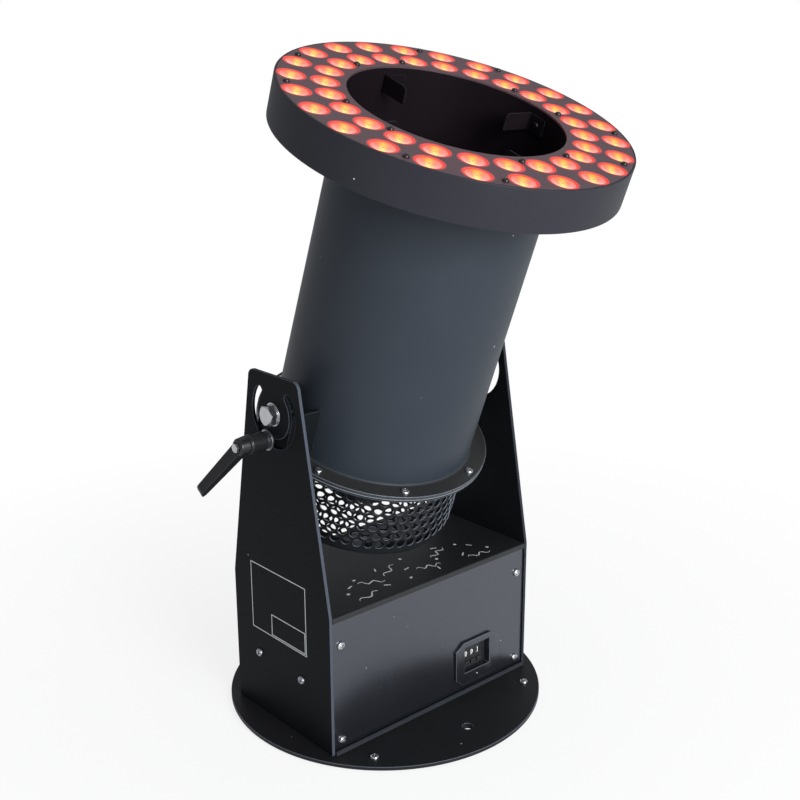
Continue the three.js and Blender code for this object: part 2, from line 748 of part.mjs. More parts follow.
function buildRing(group) {
  const boardBottom = ledBoardTop - ledBoardThickness;
  const casing = turned([
    [collarRadius, ringBottom],
    [ringRadius, ringBottom],
    [ringRadius, ringTop],
    [ringRadius - ringSheet, ringTop],
    [ringRadius - ringSheet, ringBottom + ringSheet],
    [collarRadius + ringSheet, ringBottom + ringSheet],
    [collarRadius + ringSheet, tubeTop],
    [collarRadius, tubeTop],
  ]);
  piece(group, "ring_casing", casing, powderCoat);

  const faceOuter = ringRadius - ringSheet - gap;
  const face = ring(tubeBore, faceOuter, faceBottom, ringTop);
  const holes = ledPlaces().map(([x, y]) =>
    rod(ledHoleRadius, faceBottom - overrun, ringTop + overrun, ledSides, x, y),
  );
  piece(group, "ring_face", cut(face, ...holes), powderCoat);

  const lensSheetBottom = lensSheetTop - lensSheet;
  const lensRadius = ledHoleRadius - gap;
  const lenses = ledPlaces().map(([x, y]) =>
    rod(lensRadius, lensSheetTop - lensSheet * half, ringTop - lensRecess, ledSides, x, y,
      lensRadius * lensTopShare),
  );
  const pegs = pegPlaces(0).map(([x, y]) =>
    rod(pegRadius, ledBoardTop + gap, lensSheetTop - lensSheet * half, smallSides, x, y),
  );
  const lensOuter = faceOuter - lensEdgeInset;
  const plate = ring(tubeRadius + lensInnerInset, lensOuter, lensSheetBottom, lensSheetTop);
  piece(group, "lens_plate", join(plate, ...lenses, ...pegs), lensRed);
  const board = [tubeRadius + ledBoardInnerInset, ringRadius - ledBoardOuterInset];
  const posts = pegPlaces(straightAngle / pegCount).map(([x, y]) =>
    rod(pegRadius, ringBottom + ringSheet + gap, boardBottom + weld, smallSides, x, y),
  );
  piece(group, "led_board", join(ring(...board, boardBottom, ledBoardTop), ...posts), boardGreen);
}

// A clip in the mouth: a foot on the wall and a blade that stands inwards, with one round corner.
function buildClips(group) {
  const wall = tubeBore - gap;
  const top = ringTop - clipTopBelowRing;
  const low = top - clipHeight;
  const tip = wall - clipReach;
  const corner = arc(clipRound, 90, 180, armTopSteps, [tip + clipRound, top - clipRound]);
  const blade = [[wall - clipSheet, low], [wall - clipSheet, top], ...corner, [tip, low]];
  around(clipCount).forEach((angle, i) => {
    const fin = slab(blade, clipSheet, "y").translate([0, clipSheet, 0]);
    const foot = block([0, wall + clipSheet], [0, -clipFoot], [low, top]);
    const skin = ring(wall - clipSheet - clipSheet, wall, low, top);
    const clip = join(fin, skin.intersect(foot));
    piece(group, `mouth_clip_${i + 1}`, turnedZ(clip, angle), powderCoat);
  });
}

// A trunnion bracket: a folded channel from the tube to the side plate, with two weld nuts.
function bracket(side) {
  const inner = bracketFace - bracketSheet;
  const height = [-bracketBelowPivot, bracketAbovePivot];
  const plate = block([side * inner, side * bracketFace], [-bracketHalfWidth, bracketHalfWidth], height);
  const walls = [-1, 1].map((end) => {
    const wall = [end * bracketHalfWidth, end * (bracketHalfWidth - bracketSheet)];
    return block([side * tubeBore * half, side * bracketFace], wall, height);
  });
  const nut = (radius, depth, z) =>
    rodX(radius, [side * (inner + bracketSheet * half), side * (inner - depth)], 0, z, hexSides);
  const bore = (radius, z) =>
    rodX(radius, [side * (bracketFace + overrun), side * (tubeRadius + overrun)], 0, z);
  const shell = cut(join(plate, ...walls), rod(tubeRadius + gap, -tubeRadius, tubeRadius, largeSides));
  const nuts = [nut(pivotHeadRadius, pivotNutHeight, 0), nut(studNutRadius, studNutHeight, -slotRadius)];
  return cut(join(shell, ...nuts), bore(pivotBoltRadius + gap, 0), bore(studRadius + gap, -slotRadius));
}

function buildTrunnions(group) {
  const outside = boxHalfWidth + gap;
  const shankEnd = bracketFace - bracketSheet - pivotNutHeight;
  for (const [name, side] of [["left", -1], ["right", 1]]) {
    piece(group, `trunnion_bracket_${name}`, bracket(side), powderCoat);
    const washer = cut(
      rodX(pivotWasherRadius, [side * outside, side * (outside + washerThickness)], 0, 0),
      rodX(pivotBoltRadius + gap, [side * sideInner, side * (outside + overrun)], 0, 0),
    );
    piece(group, `pivot_washer_${name}`, washer, zinc);
    const seat = outside + washerThickness + gap;
    const bolt = join(
      rodX(pivotHeadRadius, [side * seat, side * (seat + pivotHeadHeight)], 0, 0, hexSides),
      rodX(pivotBoltRadius, [side * shankEnd, side * (seat + pivotHeadHeight * half)], 0, 0),
    );
    piece(group, `pivot_bolt_${name}`, bolt, zinc);
  }
  const guide = join(
    rodX(guideFlangeRadius, [outside, outside + guideFlangeThickness], 0, -slotRadius),
    rodX(guideHeadRadius, [outside + guideFlangeThickness * half, outside + guideHeadHeight], 0,
      -slotRadius, hexSides),
    rodX(studRadius, [bracketFace - bracketSheet - studNutHeight, outside + guideFlangeThickness * half],
      0, -slotRadius),
  );
  piece(group, "guide_bolt", guide, zinc);
}

// The clamp lever on the left: stud, washer, insert, screw and a handle that pulls out to index.
function buildClamp(group) {
  const z = -slotRadius;
  const washerAt = -boxHalfWidth - gap;
  const insertAt = washerAt - washerThickness - gap;
  const insertEnd = insertAt - insertLength;
  const studEnd = insertAt - studInInsert;
  const studRoot = bracketSheet + studNutHeight - bracketFace;
  piece(group, "clamp_stud", rodX(studRadius, [studRoot, studEnd], 0, z), zinc);
  const washer = cut(
    rodX(clampWasherRadius, [washerAt, washerAt - washerThickness], 0, z),
    rodX(studRadius + gap, [-sideInner, insertAt - overrun], 0, z),
  );
  piece(group, "clamp_washer", washer, zinc);

  const collarEnd = insertAt - insertCollarHeight;
  const screwBore = leverScrewRadius + gap;
  const insert = cut(
    join(
      rodX(insertCollarRadius, [insertAt, collarEnd], 0, z),
      rodX(insertRadius, [insertAt - insertCollarHeight * half, insertEnd], 0, z),
    ),
    rodX(studRadius + gap, [insertAt + overrun, studEnd - gap], 0, z),
    rodX(screwBore, [insertAt, insertEnd - overrun], 0, z),
  );
  piece(group, "lever_insert", insert, darkMetal);

  const hubStart = collarEnd - gap;
  const webStart = insertEnd - gap;
  const webEnd = webStart - leverWeb;
  const headStart = webEnd - leverSpringRoom;
  const hubEnd = headStart - leverHubRim;
  const hubLength = hubStart - hubEnd;
  const hubProfile = [
    [0, 0],
    [leverHubRadius, 0],
    [leverHubRadius, hubLength - leverHubTaper],
    [leverHubEndRadius, hubLength],
    [0, hubLength],
  ];
  const hub = turned(hubProfile, middleSides).rotate([0, -straightAngle * half, 0]);
  const handle = cut(
    join(hub.translate([hubStart, 0, z]), leverArm(hubEnd, z)),
    rodX(insertRadius + gap, [hubStart + overrun, webStart], 0, z),
    rodX(screwBore, [hubStart, hubEnd - overrun], 0, z),
    rodX(leverScrewHeadRadius + gap, [webEnd, hubEnd - leverArmRise], 0, z),
  );
  piece(group, "lever_handle", handle, castBlack);
  const screw = join(
    rodX(leverScrewHeadRadius, [headStart, headStart - leverScrewHeadHeight], 0, z, hexSides),
    rodX(leverScrewRadius, [headStart - leverScrewHeadHeight * half, insertEnd + leverScrewInInsert], 0, z,
      smallSides),
  );
  piece(group, "lever_screw", screw, zinc);
}

// The handle's arm, from the hub's end outwards and away from the axis, narrower at its tip.
function leverArm(hubEnd, z) {
  const root = [0, hubEnd];
  const profile = [
    [root[0], root[1] + leverArmRoot],
    [root[0], root[1]],
    [leverArmReach - leverArmTip, root[1] - leverArmRise],
    [leverArmReach, root[1] - leverArmRise + leverArmTip * half],
    [leverArmReach - leverArmTip * half, root[1] - leverArmRise + leverArmTip],
  ];
  const shape = new THREE.Shape(profile.map(([r, x]) => new THREE.Vector2(r, x)));
  const geometry = new THREE.ExtrudeGeometry(shape, { depth: leverArmWidthRoot, bevelEnabled: false });
  const places = geometry.getAttribute("position");
  for (let i = 0; i < places.count; i++) {
    const share = places.getX(i) / leverArmReach;
    const width = leverArmWidthRoot + (leverArmWidthTip - leverArmWidthRoot) * share;
    const across = places.getZ(i) / leverArmWidthRoot - half;
    places.setZ(i, across * width);
  }
  const turn = leverArmAngle * radians - tiltDegrees * radians;
  const outward = new THREE.Vector3(0, Math.sin(turn), -Math.cos(turn));
  const along = new THREE.Vector3(1, 0, 0);
  const sideways = new THREE.Vector3().crossVectors(outward, along);
  geometry.applyMatrix4(new THREE.Matrix4().makeBasis(outward, along, sideways));
  return solid(geometry).translate([0, 0, z]);
}

function buildSpider(group) {
  const reach = tubeBore - gap;
  const disc = rod(motorRadius - spiderDiscInset, spiderBottom, spiderTop, middleSides);
  const arms = around(spiderArms, straightAngle / spiderArms).map((angle) => {
    const arm = block([0, reach + overrun], [-spiderArmWidth * half, spiderArmWidth * half],
      [spiderBottom, spiderTop]);
    const tab = block([reach - spiderTabThickness, reach + overrun],
      [-spiderArmWidth * half, spiderArmWidth * half], [spiderBottom, spiderBottom + spiderTabHeight]);
    return turnedZ(join(arm, tab), angle);
  });
  const limit = rod(reach, spiderBottom, spiderBottom + spiderTabHeight, largeSides);
  const bore = rod(spiderBore, spiderBottom - overrun, spiderTop + overrun, middleSides);
  piece(group, "motor_spider", cut(join(disc, ...arms).intersect(limit), bore), darkMetal);
}

function buildMotor(group) {
  const low = motorTop - motorHeight;
  const bore = rod(shaftRadius + gap, motorTop - shaftInMotor - gap, motorTop + overrun);
  piece(group, "fan_motor", cut(rod(motorRadius, low, motorTop), bore), aluminium);
  const vents = around(motorCapVents).map((angle) =>
    rod(ventRadius, motorCapBottom - overrun, motorCapTop + overrun, smallSides,
      ventCircle * Math.cos(angle), ventCircle * Math.sin(angle)),
  );
  const cap = rod(motorRadius - motorCapInset, motorCapBottom, motorCapTop);
  piece(group, "motor_end_cap", cut(cap, ...vents), darkMetal);
}

// One blade: a plate along X, twisted from a steep pitch at the hub to a flat one at the tip.
function blade(middle, tip) {
  const root = impellerHubRadius * half;
  const length = tip + overrun - root;
  const geometry = new THREE.BoxGeometry(length, bladeChord, bladeThickness, bladeSteps, 1, 1);
  geometry.translate(root + length * half, 0, 0);
  const places = geometry.getAttribute("position");
  for (let i = 0; i < places.count; i++) {
    const share = (places.getX(i) - root) / length;
    const pitch = (bladeRootPitch + (bladeTipPitch - bladeRootPitch) * share) * radians;
    const [y, z] = [places.getY(i), places.getZ(i)];
    places.setY(i, y * Math.cos(pitch) - z * Math.sin(pitch));
    places.setZ(i, y * Math.sin(pitch) + z * Math.cos(pitch) + middle);
  }
  return solid(geometry);
}

function buildImpeller(group) {
  const [low, high] = [impellerBottom, impellerTop];
  const tip = tubeBore - gap - spiderTabThickness - bladeTipGap;
  const one = blade((low + high) * half, tip);
  const blades = around(bladeCount).map((angle) => turnedZ(one, angle));
  const hub = rod(impellerHubRadius, low, high, middleSides);
  const limit = rod(tip, low, high, largeSides);
  const bore = rod(shaftRadius + gap, low - overrun, high + overrun, middleSides);
  piece(group, "impeller", cut(join(hub, ...blades).intersect(limit), bore), plasticBlack);
  const shaft = rod(shaftRadius, motorTop - shaftInMotor, spiderTop + shaftAboveSpider, middleSides);
  piece(group, "motor_shaft", shaft, zinc);
}

// The guard between fan and confetti: a disc with arc slots between its rings and bars.
function buildGuard(group) {
  const rim = tubeBore - gap;
  const pitch = (rim - guardBar - guardHubRadius) / guardRings;
  let guard = rod(rim, guardBottom, guardBottom + guardThickness, largeSides);
  for (let k = 0; k < guardRings; k++) {
    const inner = guardHubRadius + k * pitch;
    const outer = inner + pitch - guardBar;
    const halfSector = straightAngle / guardSectors;
    const trimmed = (radius) => halfSector - (guardBar * half) / radius / radians;
    const outline = [
      ...arc(outer, -trimmed(outer), trimmed(outer), guardSlotSteps),
      ...arc(inner, trimmed(inner), -trimmed(inner), guardSlotSteps),
    ];
    const slot = slab(outline, guardThickness + 2 * overrun, "z").translate([0, 0, guardBottom - overrun]);
    guard = cut(guard, ...around(guardSectors).map((angle) => turnedZ(slot, angle)));
  }
  piece(group, "fan_guard", guard, darkMetal);
}

// The intake basket: a perforated cup with a flange, in staggered rows of holes.
function buildBasket(group) {
  const low = basketBottom;
  const inner = basketRadius - basketWall;
  const flangeLow = basketTop - basketFlange;
  const cup = turned([
    [0, low],
    [basketRadius, low],
    [basketRadius, flangeLow],
    [tubeFlangeRadius, flangeLow],
    [tubeFlangeRadius, basketTop],
    [inner, basketTop],
    [inner, low + basketWall],
    [0, low + basketWall],
  ], basketColumns);
  const hole = rodX(basketHoleRadius, [inner - overrun, basketRadius + overrun], 0, 0, basketHoleSides);
  const columnTurn = fullTurn / basketColumns;
  const rowPitch = (flangeLow - low - basketTopBand - basketBottomBand) / (basketRows - 1);
  const cutters = [];
  for (let row = 0; row < basketRows; row++) {
    const z = low + basketBottomBand + row * rowPitch;
    for (let column = row % 2; column < basketColumns; column += 2) {
      cutters.push(turnedZ(hole.translate([0, 0, z]), (column + half) * columnTurn));
    }
  }
  for (let ring = 1; ring < basketFloorRings; ring++) {
    const bore = rod(basketHoleRadius, low - overrun, low + basketWall + overrun, basketHoleSides,
      (basketRadius * ring) / basketFloorRings, 0);
    cutters.push(...around(basketFloorHoles * ring).map((angle) => turnedZ(bore, angle)));
  }
  piece(group, "intake_basket", cut(cup, ...cutters), powderCoat);
}

const blower = new THREE.Group();
const base = new THREE.Group();
const barrel = new THREE.Group();
barrel.position.set(0, 0, pivotHeight);
barrel.rotation.x = tiltDegrees * radians;
blower.add(base, barrel);

buildBase(base);
buildChassis(base);
buildSides(base);
buildPanels(base);
buildPanelScrews(base);
buildBezel(base);
buildSwitch(base);
buildPowerInlet(base);
buildSignalSockets(base);
buildElectronics(base);
buildTube(barrel);
buildRing(barrel);
buildClips(barrel);
buildTrunnions(barrel);
buildClamp(barrel);
buildSpider(barrel);
buildMotor(barrel);
buildImpeller(barrel);
buildGuard(barrel);
buildBasket(barrel);

export default blower;
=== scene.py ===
"""Finishes and fine surfaces of a confetti blower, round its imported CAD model.

The CAD model comes in as a fixed frame. Each sub-assembly below is a class that reads its places from
that frame, models the finer piece that stands for a faceted solid, and dresses it in its finish.
Lengths are in metres, +Z is up and the front is -Y. The barrel's classes work in the barrel's own axes,
with +Z along the barrel and the tilt pivot at the origin.
"""

from __future__ import annotations

import json
import logging
import math
from collections.abc import Iterable, Sequence
from dataclasses import dataclass, field, replace
from enum import Enum
from typing import NamedTuple

import bmesh
import bpy
from bmesh.types import BMEdge, BMesh, BMFace, BMVert
from mathutils import Matrix, Vector
from mathutils.kdtree import KDTree

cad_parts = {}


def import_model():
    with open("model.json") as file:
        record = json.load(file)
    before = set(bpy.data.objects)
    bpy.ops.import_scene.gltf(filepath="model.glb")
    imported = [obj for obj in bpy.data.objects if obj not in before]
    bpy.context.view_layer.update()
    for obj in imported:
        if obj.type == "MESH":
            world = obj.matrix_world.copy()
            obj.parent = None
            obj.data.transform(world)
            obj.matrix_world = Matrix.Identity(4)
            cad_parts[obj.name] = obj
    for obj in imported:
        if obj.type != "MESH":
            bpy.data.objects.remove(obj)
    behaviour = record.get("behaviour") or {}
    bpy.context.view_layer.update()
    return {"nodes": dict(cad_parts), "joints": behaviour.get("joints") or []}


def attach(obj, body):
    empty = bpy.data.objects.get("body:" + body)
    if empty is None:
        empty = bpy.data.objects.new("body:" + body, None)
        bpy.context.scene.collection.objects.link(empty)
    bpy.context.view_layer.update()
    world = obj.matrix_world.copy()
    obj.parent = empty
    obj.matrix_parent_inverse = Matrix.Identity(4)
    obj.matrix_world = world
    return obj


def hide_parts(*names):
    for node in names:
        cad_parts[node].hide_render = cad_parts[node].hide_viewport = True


LOG = logging.getLogger("confetti_blower")
MM = 0.001
HALF = 0.5
QUARTER_TURN = math.tau / 4
# Blender fills loops with tolerances that suit metres, so small ones are filled at this scale.
FILL_SCALE = 1000.0
# Points closer than these are one: on a finished mesh, on a CAD mesh, and between parts that were laid
# out apart.
SAME = 0.0001 * MM
CAD_SAME = 0.002 * MM
NEAR = 0.01 * MM
# A face whose normal has less than this of z stands upright.
UPRIGHT = 0.1

# Layers of a mesh that finishes or later steps read.
EDGE_HIGHLIGHT_LAYER = "edge"
PAINTED_GLOW_LAYER = "glow"
LIGHT_LAYER = "lens_glow"
HOLE_LAYER = "in_hole"

Color = tuple[float, float, float]
Point = tuple[float, float]
Socket = bpy.types.NodeSocket


class Axis(Enum):
    """How a flat shape's own x, y and z lie in its assembly's axes."""

    X = ((0, 1, 0), (0, 0, 1), (1, 0, 0))
    MINUS_X = ((0, -1, 0), (0, 0, 1), (-1, 0, 0))
    PLUS_Y = ((-1, 0, 0), (0, 0, 1), (0, 1, 0))
    MINUS_Y = ((1, 0, 0), (0, 0, 1), (0, -1, 0))

    def matrix(self) -> Matrix:
        """Return the turn that lays a flat shape along this axis."""
        return Matrix(self.value).transposed().to_4x4()

    def at(self, x: float, y: float, z: float) -> Matrix:
        """Return the place of a flat shape that faces this way at a point."""
        return Matrix.Translation((x, y, z)) @ self.matrix()


class Box(NamedTuple):
    """The lowest and the highest corner of a node."""

    low: Vector
    high: Vector

    @property
    def middle(self) -> Vector:
        """Return the box's middle."""
        return (self.low + self.high) * HALF

    @property
    def size(self) -> Vector:
        """Return the box's size."""
        return self.high - self.low


def opaque(color: Color) -> tuple[float, float, float, float]:
    """Return a color with its alpha."""
    return (*color, 1.0)


class NodeTree:
    """A node tree with short ways to add and join nodes."""

    def __init__(self, tree: bpy.types.NodeTree) -> None:
        """Hold the tree that nodes go into."""
        self.tree = tree

    @classmethod
    def fresh(cls, owner: bpy.types.Material | bpy.types.World) -> NodeTree:
        """Empty the tree of a material or a world.

        Args:
            owner: The material or the world.

        Returns:
            Its tree.
        """
        owner.use_nodes = True
        owner.node_tree.nodes.clear()
        return cls(owner.node_tree)

    def add(self, kind: str, **settings: object) -> bpy.types.Node:
        """Add a node.

        Args:
            kind: The node's type without its ShaderNode prefix, or a full type name.
            **settings: Properties to set on the node.

        Returns:
            The new node.
        """
        name = kind if kind.startswith("NodeGroup") else f"ShaderNode{kind}"
        node = self.tree.nodes.new(name)
        for key, value in settings.items():
            setattr(node, key, value)
        return node

    def feed(self, socket: Socket, value: object) -> None:
        """Join an input to a socket, or set its value.

        Args:
            socket: The input.
            value: A socket, a number or a color.
        """
        if isinstance(value, Socket):
            self.tree.links.new(value, socket)
        else:
            socket.default_value = opaque(value) if isinstance(value, tuple) else value

    def feed_all(self, node: bpy.types.Node, values: dict[str, object]) -> None:
        """Feed several inputs of a node.

        Args:
            node: The node.
            values: What goes into each input, by the input's name.
        """
        for label, value in values.items():
            self.feed(node.inputs[label], value)

    def math(self, operation: str, first: object, second: object) -> Socket:
        """Add a math node.

        Args:
            operation: Blender's name of the operation.
            first: A socket or a number.
            second: A socket or a number.

        Returns:
            The node's value.
        """
        node = self.add("Math", operation=operation)
        for value, socket in zip((first, second), node.inputs):
            self.feed(socket, value)
        return node.outputs[0]

    def mix(self, share: object, first: object, second: object) -> Socket:
        """Blend two colors.

        Args:
            share: How much of the second color, as a socket or a number.
            first: A color or a socket.
            second: A color or a socket.

        Returns:
            The blended color.
        """
        node = self.add("Mix", data_type="RGBA")
        color_sockets = [s for s in node.inputs if s.type == "RGBA"]
        for value, socket in zip((share, first, second), (node.inputs["Factor"], *color_sockets)):
            self.feed(socket, value)
        return next(s for s in node.outputs if s.type == "RGBA")

    def mix_shaders(self, share: Socket, first: Socket, second: Socket) -> Socket:
        """Blend two shaders.

        Args:
            share: How much of the second shader.
            first: A shader.
            second: A shader.

        Returns:
            The blended shader.
        """
        node = self.add("MixShader")
        for value, socket in zip((share, first, second), node.inputs):
            self.feed(socket, value)
        return node.outputs[0]


class SurfaceGroup:
    """Shader node groups that several finishes share, each built once."""

    def __init__(self) -> None:
        """Build both groups."""
        self.finished: dict[str, bpy.types.Material] = {}
        self.grain = self._grain()
        self.specks = self._specks()

    @staticmethod
    def _start(name: str, inputs: dict[str, str], outputs: dict[str, str]) -> NodeTree:
        """Make an empty group with its sockets.

        Args:
            name: The group's name.
            inputs: Socket names with their types.
            outputs: Socket names with their types.

        Returns:
            The group's tree.
        """
        group = bpy.data.node_groups.new(name, "ShaderNodeTree")
        for in_out, sockets in (("INPUT", inputs), ("OUTPUT", outputs)):
            for label, kind in sockets.items():
                group.interface.new_socket(label, in_out=in_out, socket_type=f"NodeSocket{kind}")
        return NodeTree(group)

    def _grain(self) -> bpy.types.ShaderNodeTree:
        """Build a fine texture over faint large patches, which vary the color and the gloss.

        Returns:
            The group.
        """
        inputs = {
            "Vector": "Vector", "Color": "Color", "Patch Color": "Color", "Patch Scale": "Float",
            "Grain Scale": "Float", "Roughness": "Float", "Spread": "Float",
        }
        outputs = {"Color": "Color", "Roughness": "Float", "Height": "Float"}
        tree = self._start("surface_grain", inputs, outputs)
        given, target = tree.add("NodeGroupInput").outputs, tree.add("NodeGroupOutput")
        noises = []
        for scale, detail in (("Patch Scale", 3.0), ("Grain Scale", 2.0)):
            noise = tree.add("TexNoise")
            tree.feed_all(noise, {"Vector": given["Vector"], "Scale": given[scale], "Detail": detail})
            noises.append(noise.outputs["Fac"])
        patch, grain = noises
        swing = tree.math("MULTIPLY", tree.math("SUBTRACT", patch, HALF), given["Spread"])
        tree.feed_all(target, {
            "Color": tree.mix(patch, given["Color"], given["Patch Color"]),
            "Roughness": tree.math("ADD", given["Roughness"], swing),
            "Height": grain,
        })
        return tree.tree

    def _specks(self) -> bpy.types.ShaderNodeTree:
        """Build small round specks of dust in a few cells of a pattern.

        Returns:
            The group.
        """
        inputs = {"Vector": "Vector", "Scale": "Float", "Amount": "Float", "Size": "Float"}
        tree = self._start("dust_specks", inputs, {"Mask": "Float"})
        given, target = tree.add("NodeGroupInput").outputs, tree.add("NodeGroupOutput")
        cells, channels = tree.add("TexVoronoi"), tree.add("SeparateColor")
        tree.feed_all(cells, {"Vector": given["Vector"], "Scale": given["Scale"]})
        tree.feed_all(channels, {"Color": cells.outputs["Color"]})
        chosen = tree.math("LESS_THAN", channels.outputs["Red"], given["Amount"])
        radius = tree.math("MULTIPLY", channels.outputs["Green"], given["Size"])
        near = tree.math("LESS_THAN", cells.outputs["Distance"], radius)
        tree.feed_all(target, {"Mask": tree.math("MULTIPLY", chosen, near)})
        return tree.tree


@dataclass(frozen=True)
class Finish:
    """A surface finish with a fine texture, faint patches, painted highlights on its edges and a little
    dust.
    """

    name: str
    slot: str
    color: Color
    patch: Color
    roughness: float
    spread: float = 0.12
    metallic: float = 0.0
    coat: float = 0.0
    coat_roughness: float = 0.1
    specular: float = 0.5
    specular_tint: Color = (1.0, 1.0, 1.0)
    patch_scale: float = 22.0
    grain_scale: float = 900.0
    grain_depth: float = 0.03 * MM
    # Lighter colour that faces in the edge layer take: a painted highlight on bevelled edges and rims.
    edge: Color | None = None
    speck_amount: float = 0.0
    speck_color: Color = (0.45, 0.45, 0.46)
    speck_scale: float = 120.0
    speck_size: float = 0.09

    def material(self, groups: SurfaceGroup) -> bpy.types.Material:
        """Return the finish's material, made on first use.

        Args:
            groups: The shared node groups.

        Returns:
            The material.
        """
        if self.name in groups.finished:
            return groups.finished[self.name]
        made = bpy.data.materials.new(f"{self.name}_finish")
        groups.finished[self.name] = made
        tree = NodeTree.fresh(made)
        shader = tree.add("BsdfPrincipled")
        tree.feed_all(tree.add("OutputMaterial"), {"Surface": shader.outputs["BSDF"]})
        self._surface(tree, shader, groups)
        self._light(tree, shader)
        made.diffuse_color = opaque(self.color)
        return made

    def _surface(self, tree: NodeTree, shader: bpy.types.Node, groups: SurfaceGroup) -> None:
        """Feed the shader from the shared groups.

        Args:
            tree: The material's tree.
            shader: Its shader.
            groups: The shared node groups.
        """
        place = tree.add("TexCoord").outputs["Object"]
        grain = tree.add("Group", node_tree=groups.grain)
        tree.feed_all(grain, {
            "Vector": place, "Color": self.color, "Patch Color": self.patch, "Patch Scale": self.patch_scale,
            "Grain Scale": self.grain_scale, "Roughness": self.roughness, "Spread": self.spread,
        })
        color = grain.outputs["Color"]
        if self.edge:
            # Painted highlight: faces marked in the edge layer take the lighter edge colour.
            edge_highlight = tree.add("Attribute", attribute_name=EDGE_HIGHLIGHT_LAYER).outputs["Fac"]
            color = tree.mix(edge_highlight, color, self.edge)
        if self.speck_amount:
            specks = tree.add("Group", node_tree=groups.specks)
            tree.feed_all(specks, {
                "Vector": place, "Scale": self.speck_scale, "Amount": self.speck_amount,
                "Size": self.speck_size,
            })
            color = tree.mix(specks.outputs["Mask"], color, self.speck_color)
        bump = tree.add("Bump")
        height = grain.outputs["Height"]
        tree.feed_all(bump, {"Strength": 1.0, "Distance": self.grain_depth, "Height": height})
        tree.feed_all(shader, {
            "Base Color": color, "Roughness": grain.outputs["Roughness"], "Normal": bump.outputs["Normal"],
            "Metallic": self.metallic, "Coat Weight": self.coat, "Coat Roughness": self.coat_roughness,
            "Specular IOR Level": self.specular, "Specular Tint": self.specular_tint,
        })

    def _light(self, tree: NodeTree, shader: bpy.types.Node) -> None:
        """Add what the finish gives out of itself, which is nothing on most."""


@dataclass(frozen=True)
class PaintedGlowFinish(Finish):
    """A finish that paints a glow: it gives out light by the glow layer of the mesh, from 0 to 1, though the
    surface is no lamp.
    """

    stops: tuple[tuple[float, Color], ...] = ()

    def _light(self, tree: NodeTree, shader: bpy.types.Node) -> None:
        """Color the light along the layer.

        Args:
            tree: The material's tree.
            shader: Its shader.
        """
        ramp = tree.add("ValToRGB")
        colors = ramp.color_ramp.elements
        while len(colors) < len(self.stops):
            colors.new(HALF)
        for element, (position, color) in zip(colors, self.stops):
            element.position = position
            element.color = opaque(color)
        tree.feed_all(ramp, {"Fac": tree.add("Attribute", attribute_name=PAINTED_GLOW_LAYER).outputs["Fac"]})
        tree.feed_all(shader, {"Emission Color": ramp.outputs["Color"], "Emission Strength": 1.0})


@dataclass(frozen=True)
class PaintedGlow(Finish):
    """A finish that gives out light in the colors of the mesh's light layer."""

    def _light(self, tree: NodeTree, shader: bpy.types.Node) -> None:
        """Give out the layer's color.

        Args:
            tree: The material's tree.
            shader: Its shader.
        """
        painted = tree.add("Attribute", attribute_name=LIGHT_LAYER).outputs["Color"]
        tree.feed_all(shader, {"Emission Color": painted, "Emission Strength": 1.0})


# The black powder coat; its edge colour, which its copies keep unless they set their own, is a painted
# highlight on bevelled edges.
POWDER = Finish(
    "powder_coat", "powder_coat", (0.023, 0.028, 0.036), (0.029, 0.035, 0.044), 0.46,
    specular=0.15, edge=(0.07, 0.08, 0.1), speck_amount=0.05,
)
# Painted shade: the powder coat set darker on the ring casing.
RING_SHADED_COAT = replace(POWDER, name="ring_shaded_coat", color=(0.018, 0.018, 0.023), patch=(0.023, 0.023, 0.029))
# Painted shade and painted reflection tint: the powder coat set darker on the panels, its reflections tinted
# bluish, and glossier.
PANEL_SHADED_COAT = replace(
    POWDER, name="panel_shaded_coat", color=(0.006, 0.0065, 0.009), patch=(0.008, 0.0085, 0.011), roughness=0.26,
    spread=0.08, specular=1.0, specular_tint=(0.72, 0.79, 0.97), coat=0.75, coat_roughness=0.24,
)
TRAY_COAT = replace(POWDER, name="tray_coat", color=(0.023, 0.025, 0.030), patch=(0.028, 0.030, 0.035))
# Painted shade: the powder coat set much darker on the side plates and trunnion brackets.
PLATE_SHADED_COAT = replace(
    POWDER, name="plate_shaded_coat", color=(0.006, 0.007, 0.0085), patch=(0.0085, 0.0095, 0.011), specular=0.04,
    speck_amount=0.015,
)
# Painted shade: the powder coat set darker, with a faint red cast, in the barrel's bore and on the clips
# inside it.
BORE_SHADED_COAT = replace(PLATE_SHADED_COAT, name="bore_shaded_coat", color=(0.0075, 0.005, 0.0068), patch=(0.01, 0.007, 0.009))
# Painted shade: the powder coat set darker on the top cover.
COVER_SHADED_COAT = replace(
    PLATE_SHADED_COAT, name="cover_shaded_coat", color=(0.008, 0.009, 0.011), patch=(0.013, 0.013, 0.014), specular=0.4,
)
# Painted shade: the powder coat set darker and neutral on the barrel's flange; its lighter edge colour
# paints a highlight on the rim.
FLANGE_SHADED_COAT = replace(
    COVER_SHADED_COAT, name="flange_shaded_coat", color=(0.018, 0.018, 0.018), patch=(0.024, 0.024, 0.023), roughness=0.36,
    edge=(0.085, 0.095, 0.115),
)
# Painted shade: the powder coat set darker on the intake basket; its light edge colour paints highlights on
# the rims of the holes and the flange.
MESH_SHADED_COAT = replace(
    PLATE_SHADED_COAT, name="mesh_shaded_coat", color=(0.007, 0.008, 0.010), specular=0.2, edge=(0.14, 0.155, 0.18),
)
# Painted shade: the powder coat set darker on the base plate.
BASE_SHADED_COAT = replace(
    POWDER, name="base_shaded_coat", color=(0.008, 0.008, 0.009), patch=(0.011, 0.011, 0.012), specular=0.2,
)
CASTING = Finish(
    "cast_black", "cast_black", (0.009, 0.009, 0.010), (0.012, 0.012, 0.013), 0.3,
    specular=0.35, grain_scale=500.0, grain_depth=0.05 * MM, speck_amount=0.03,
)
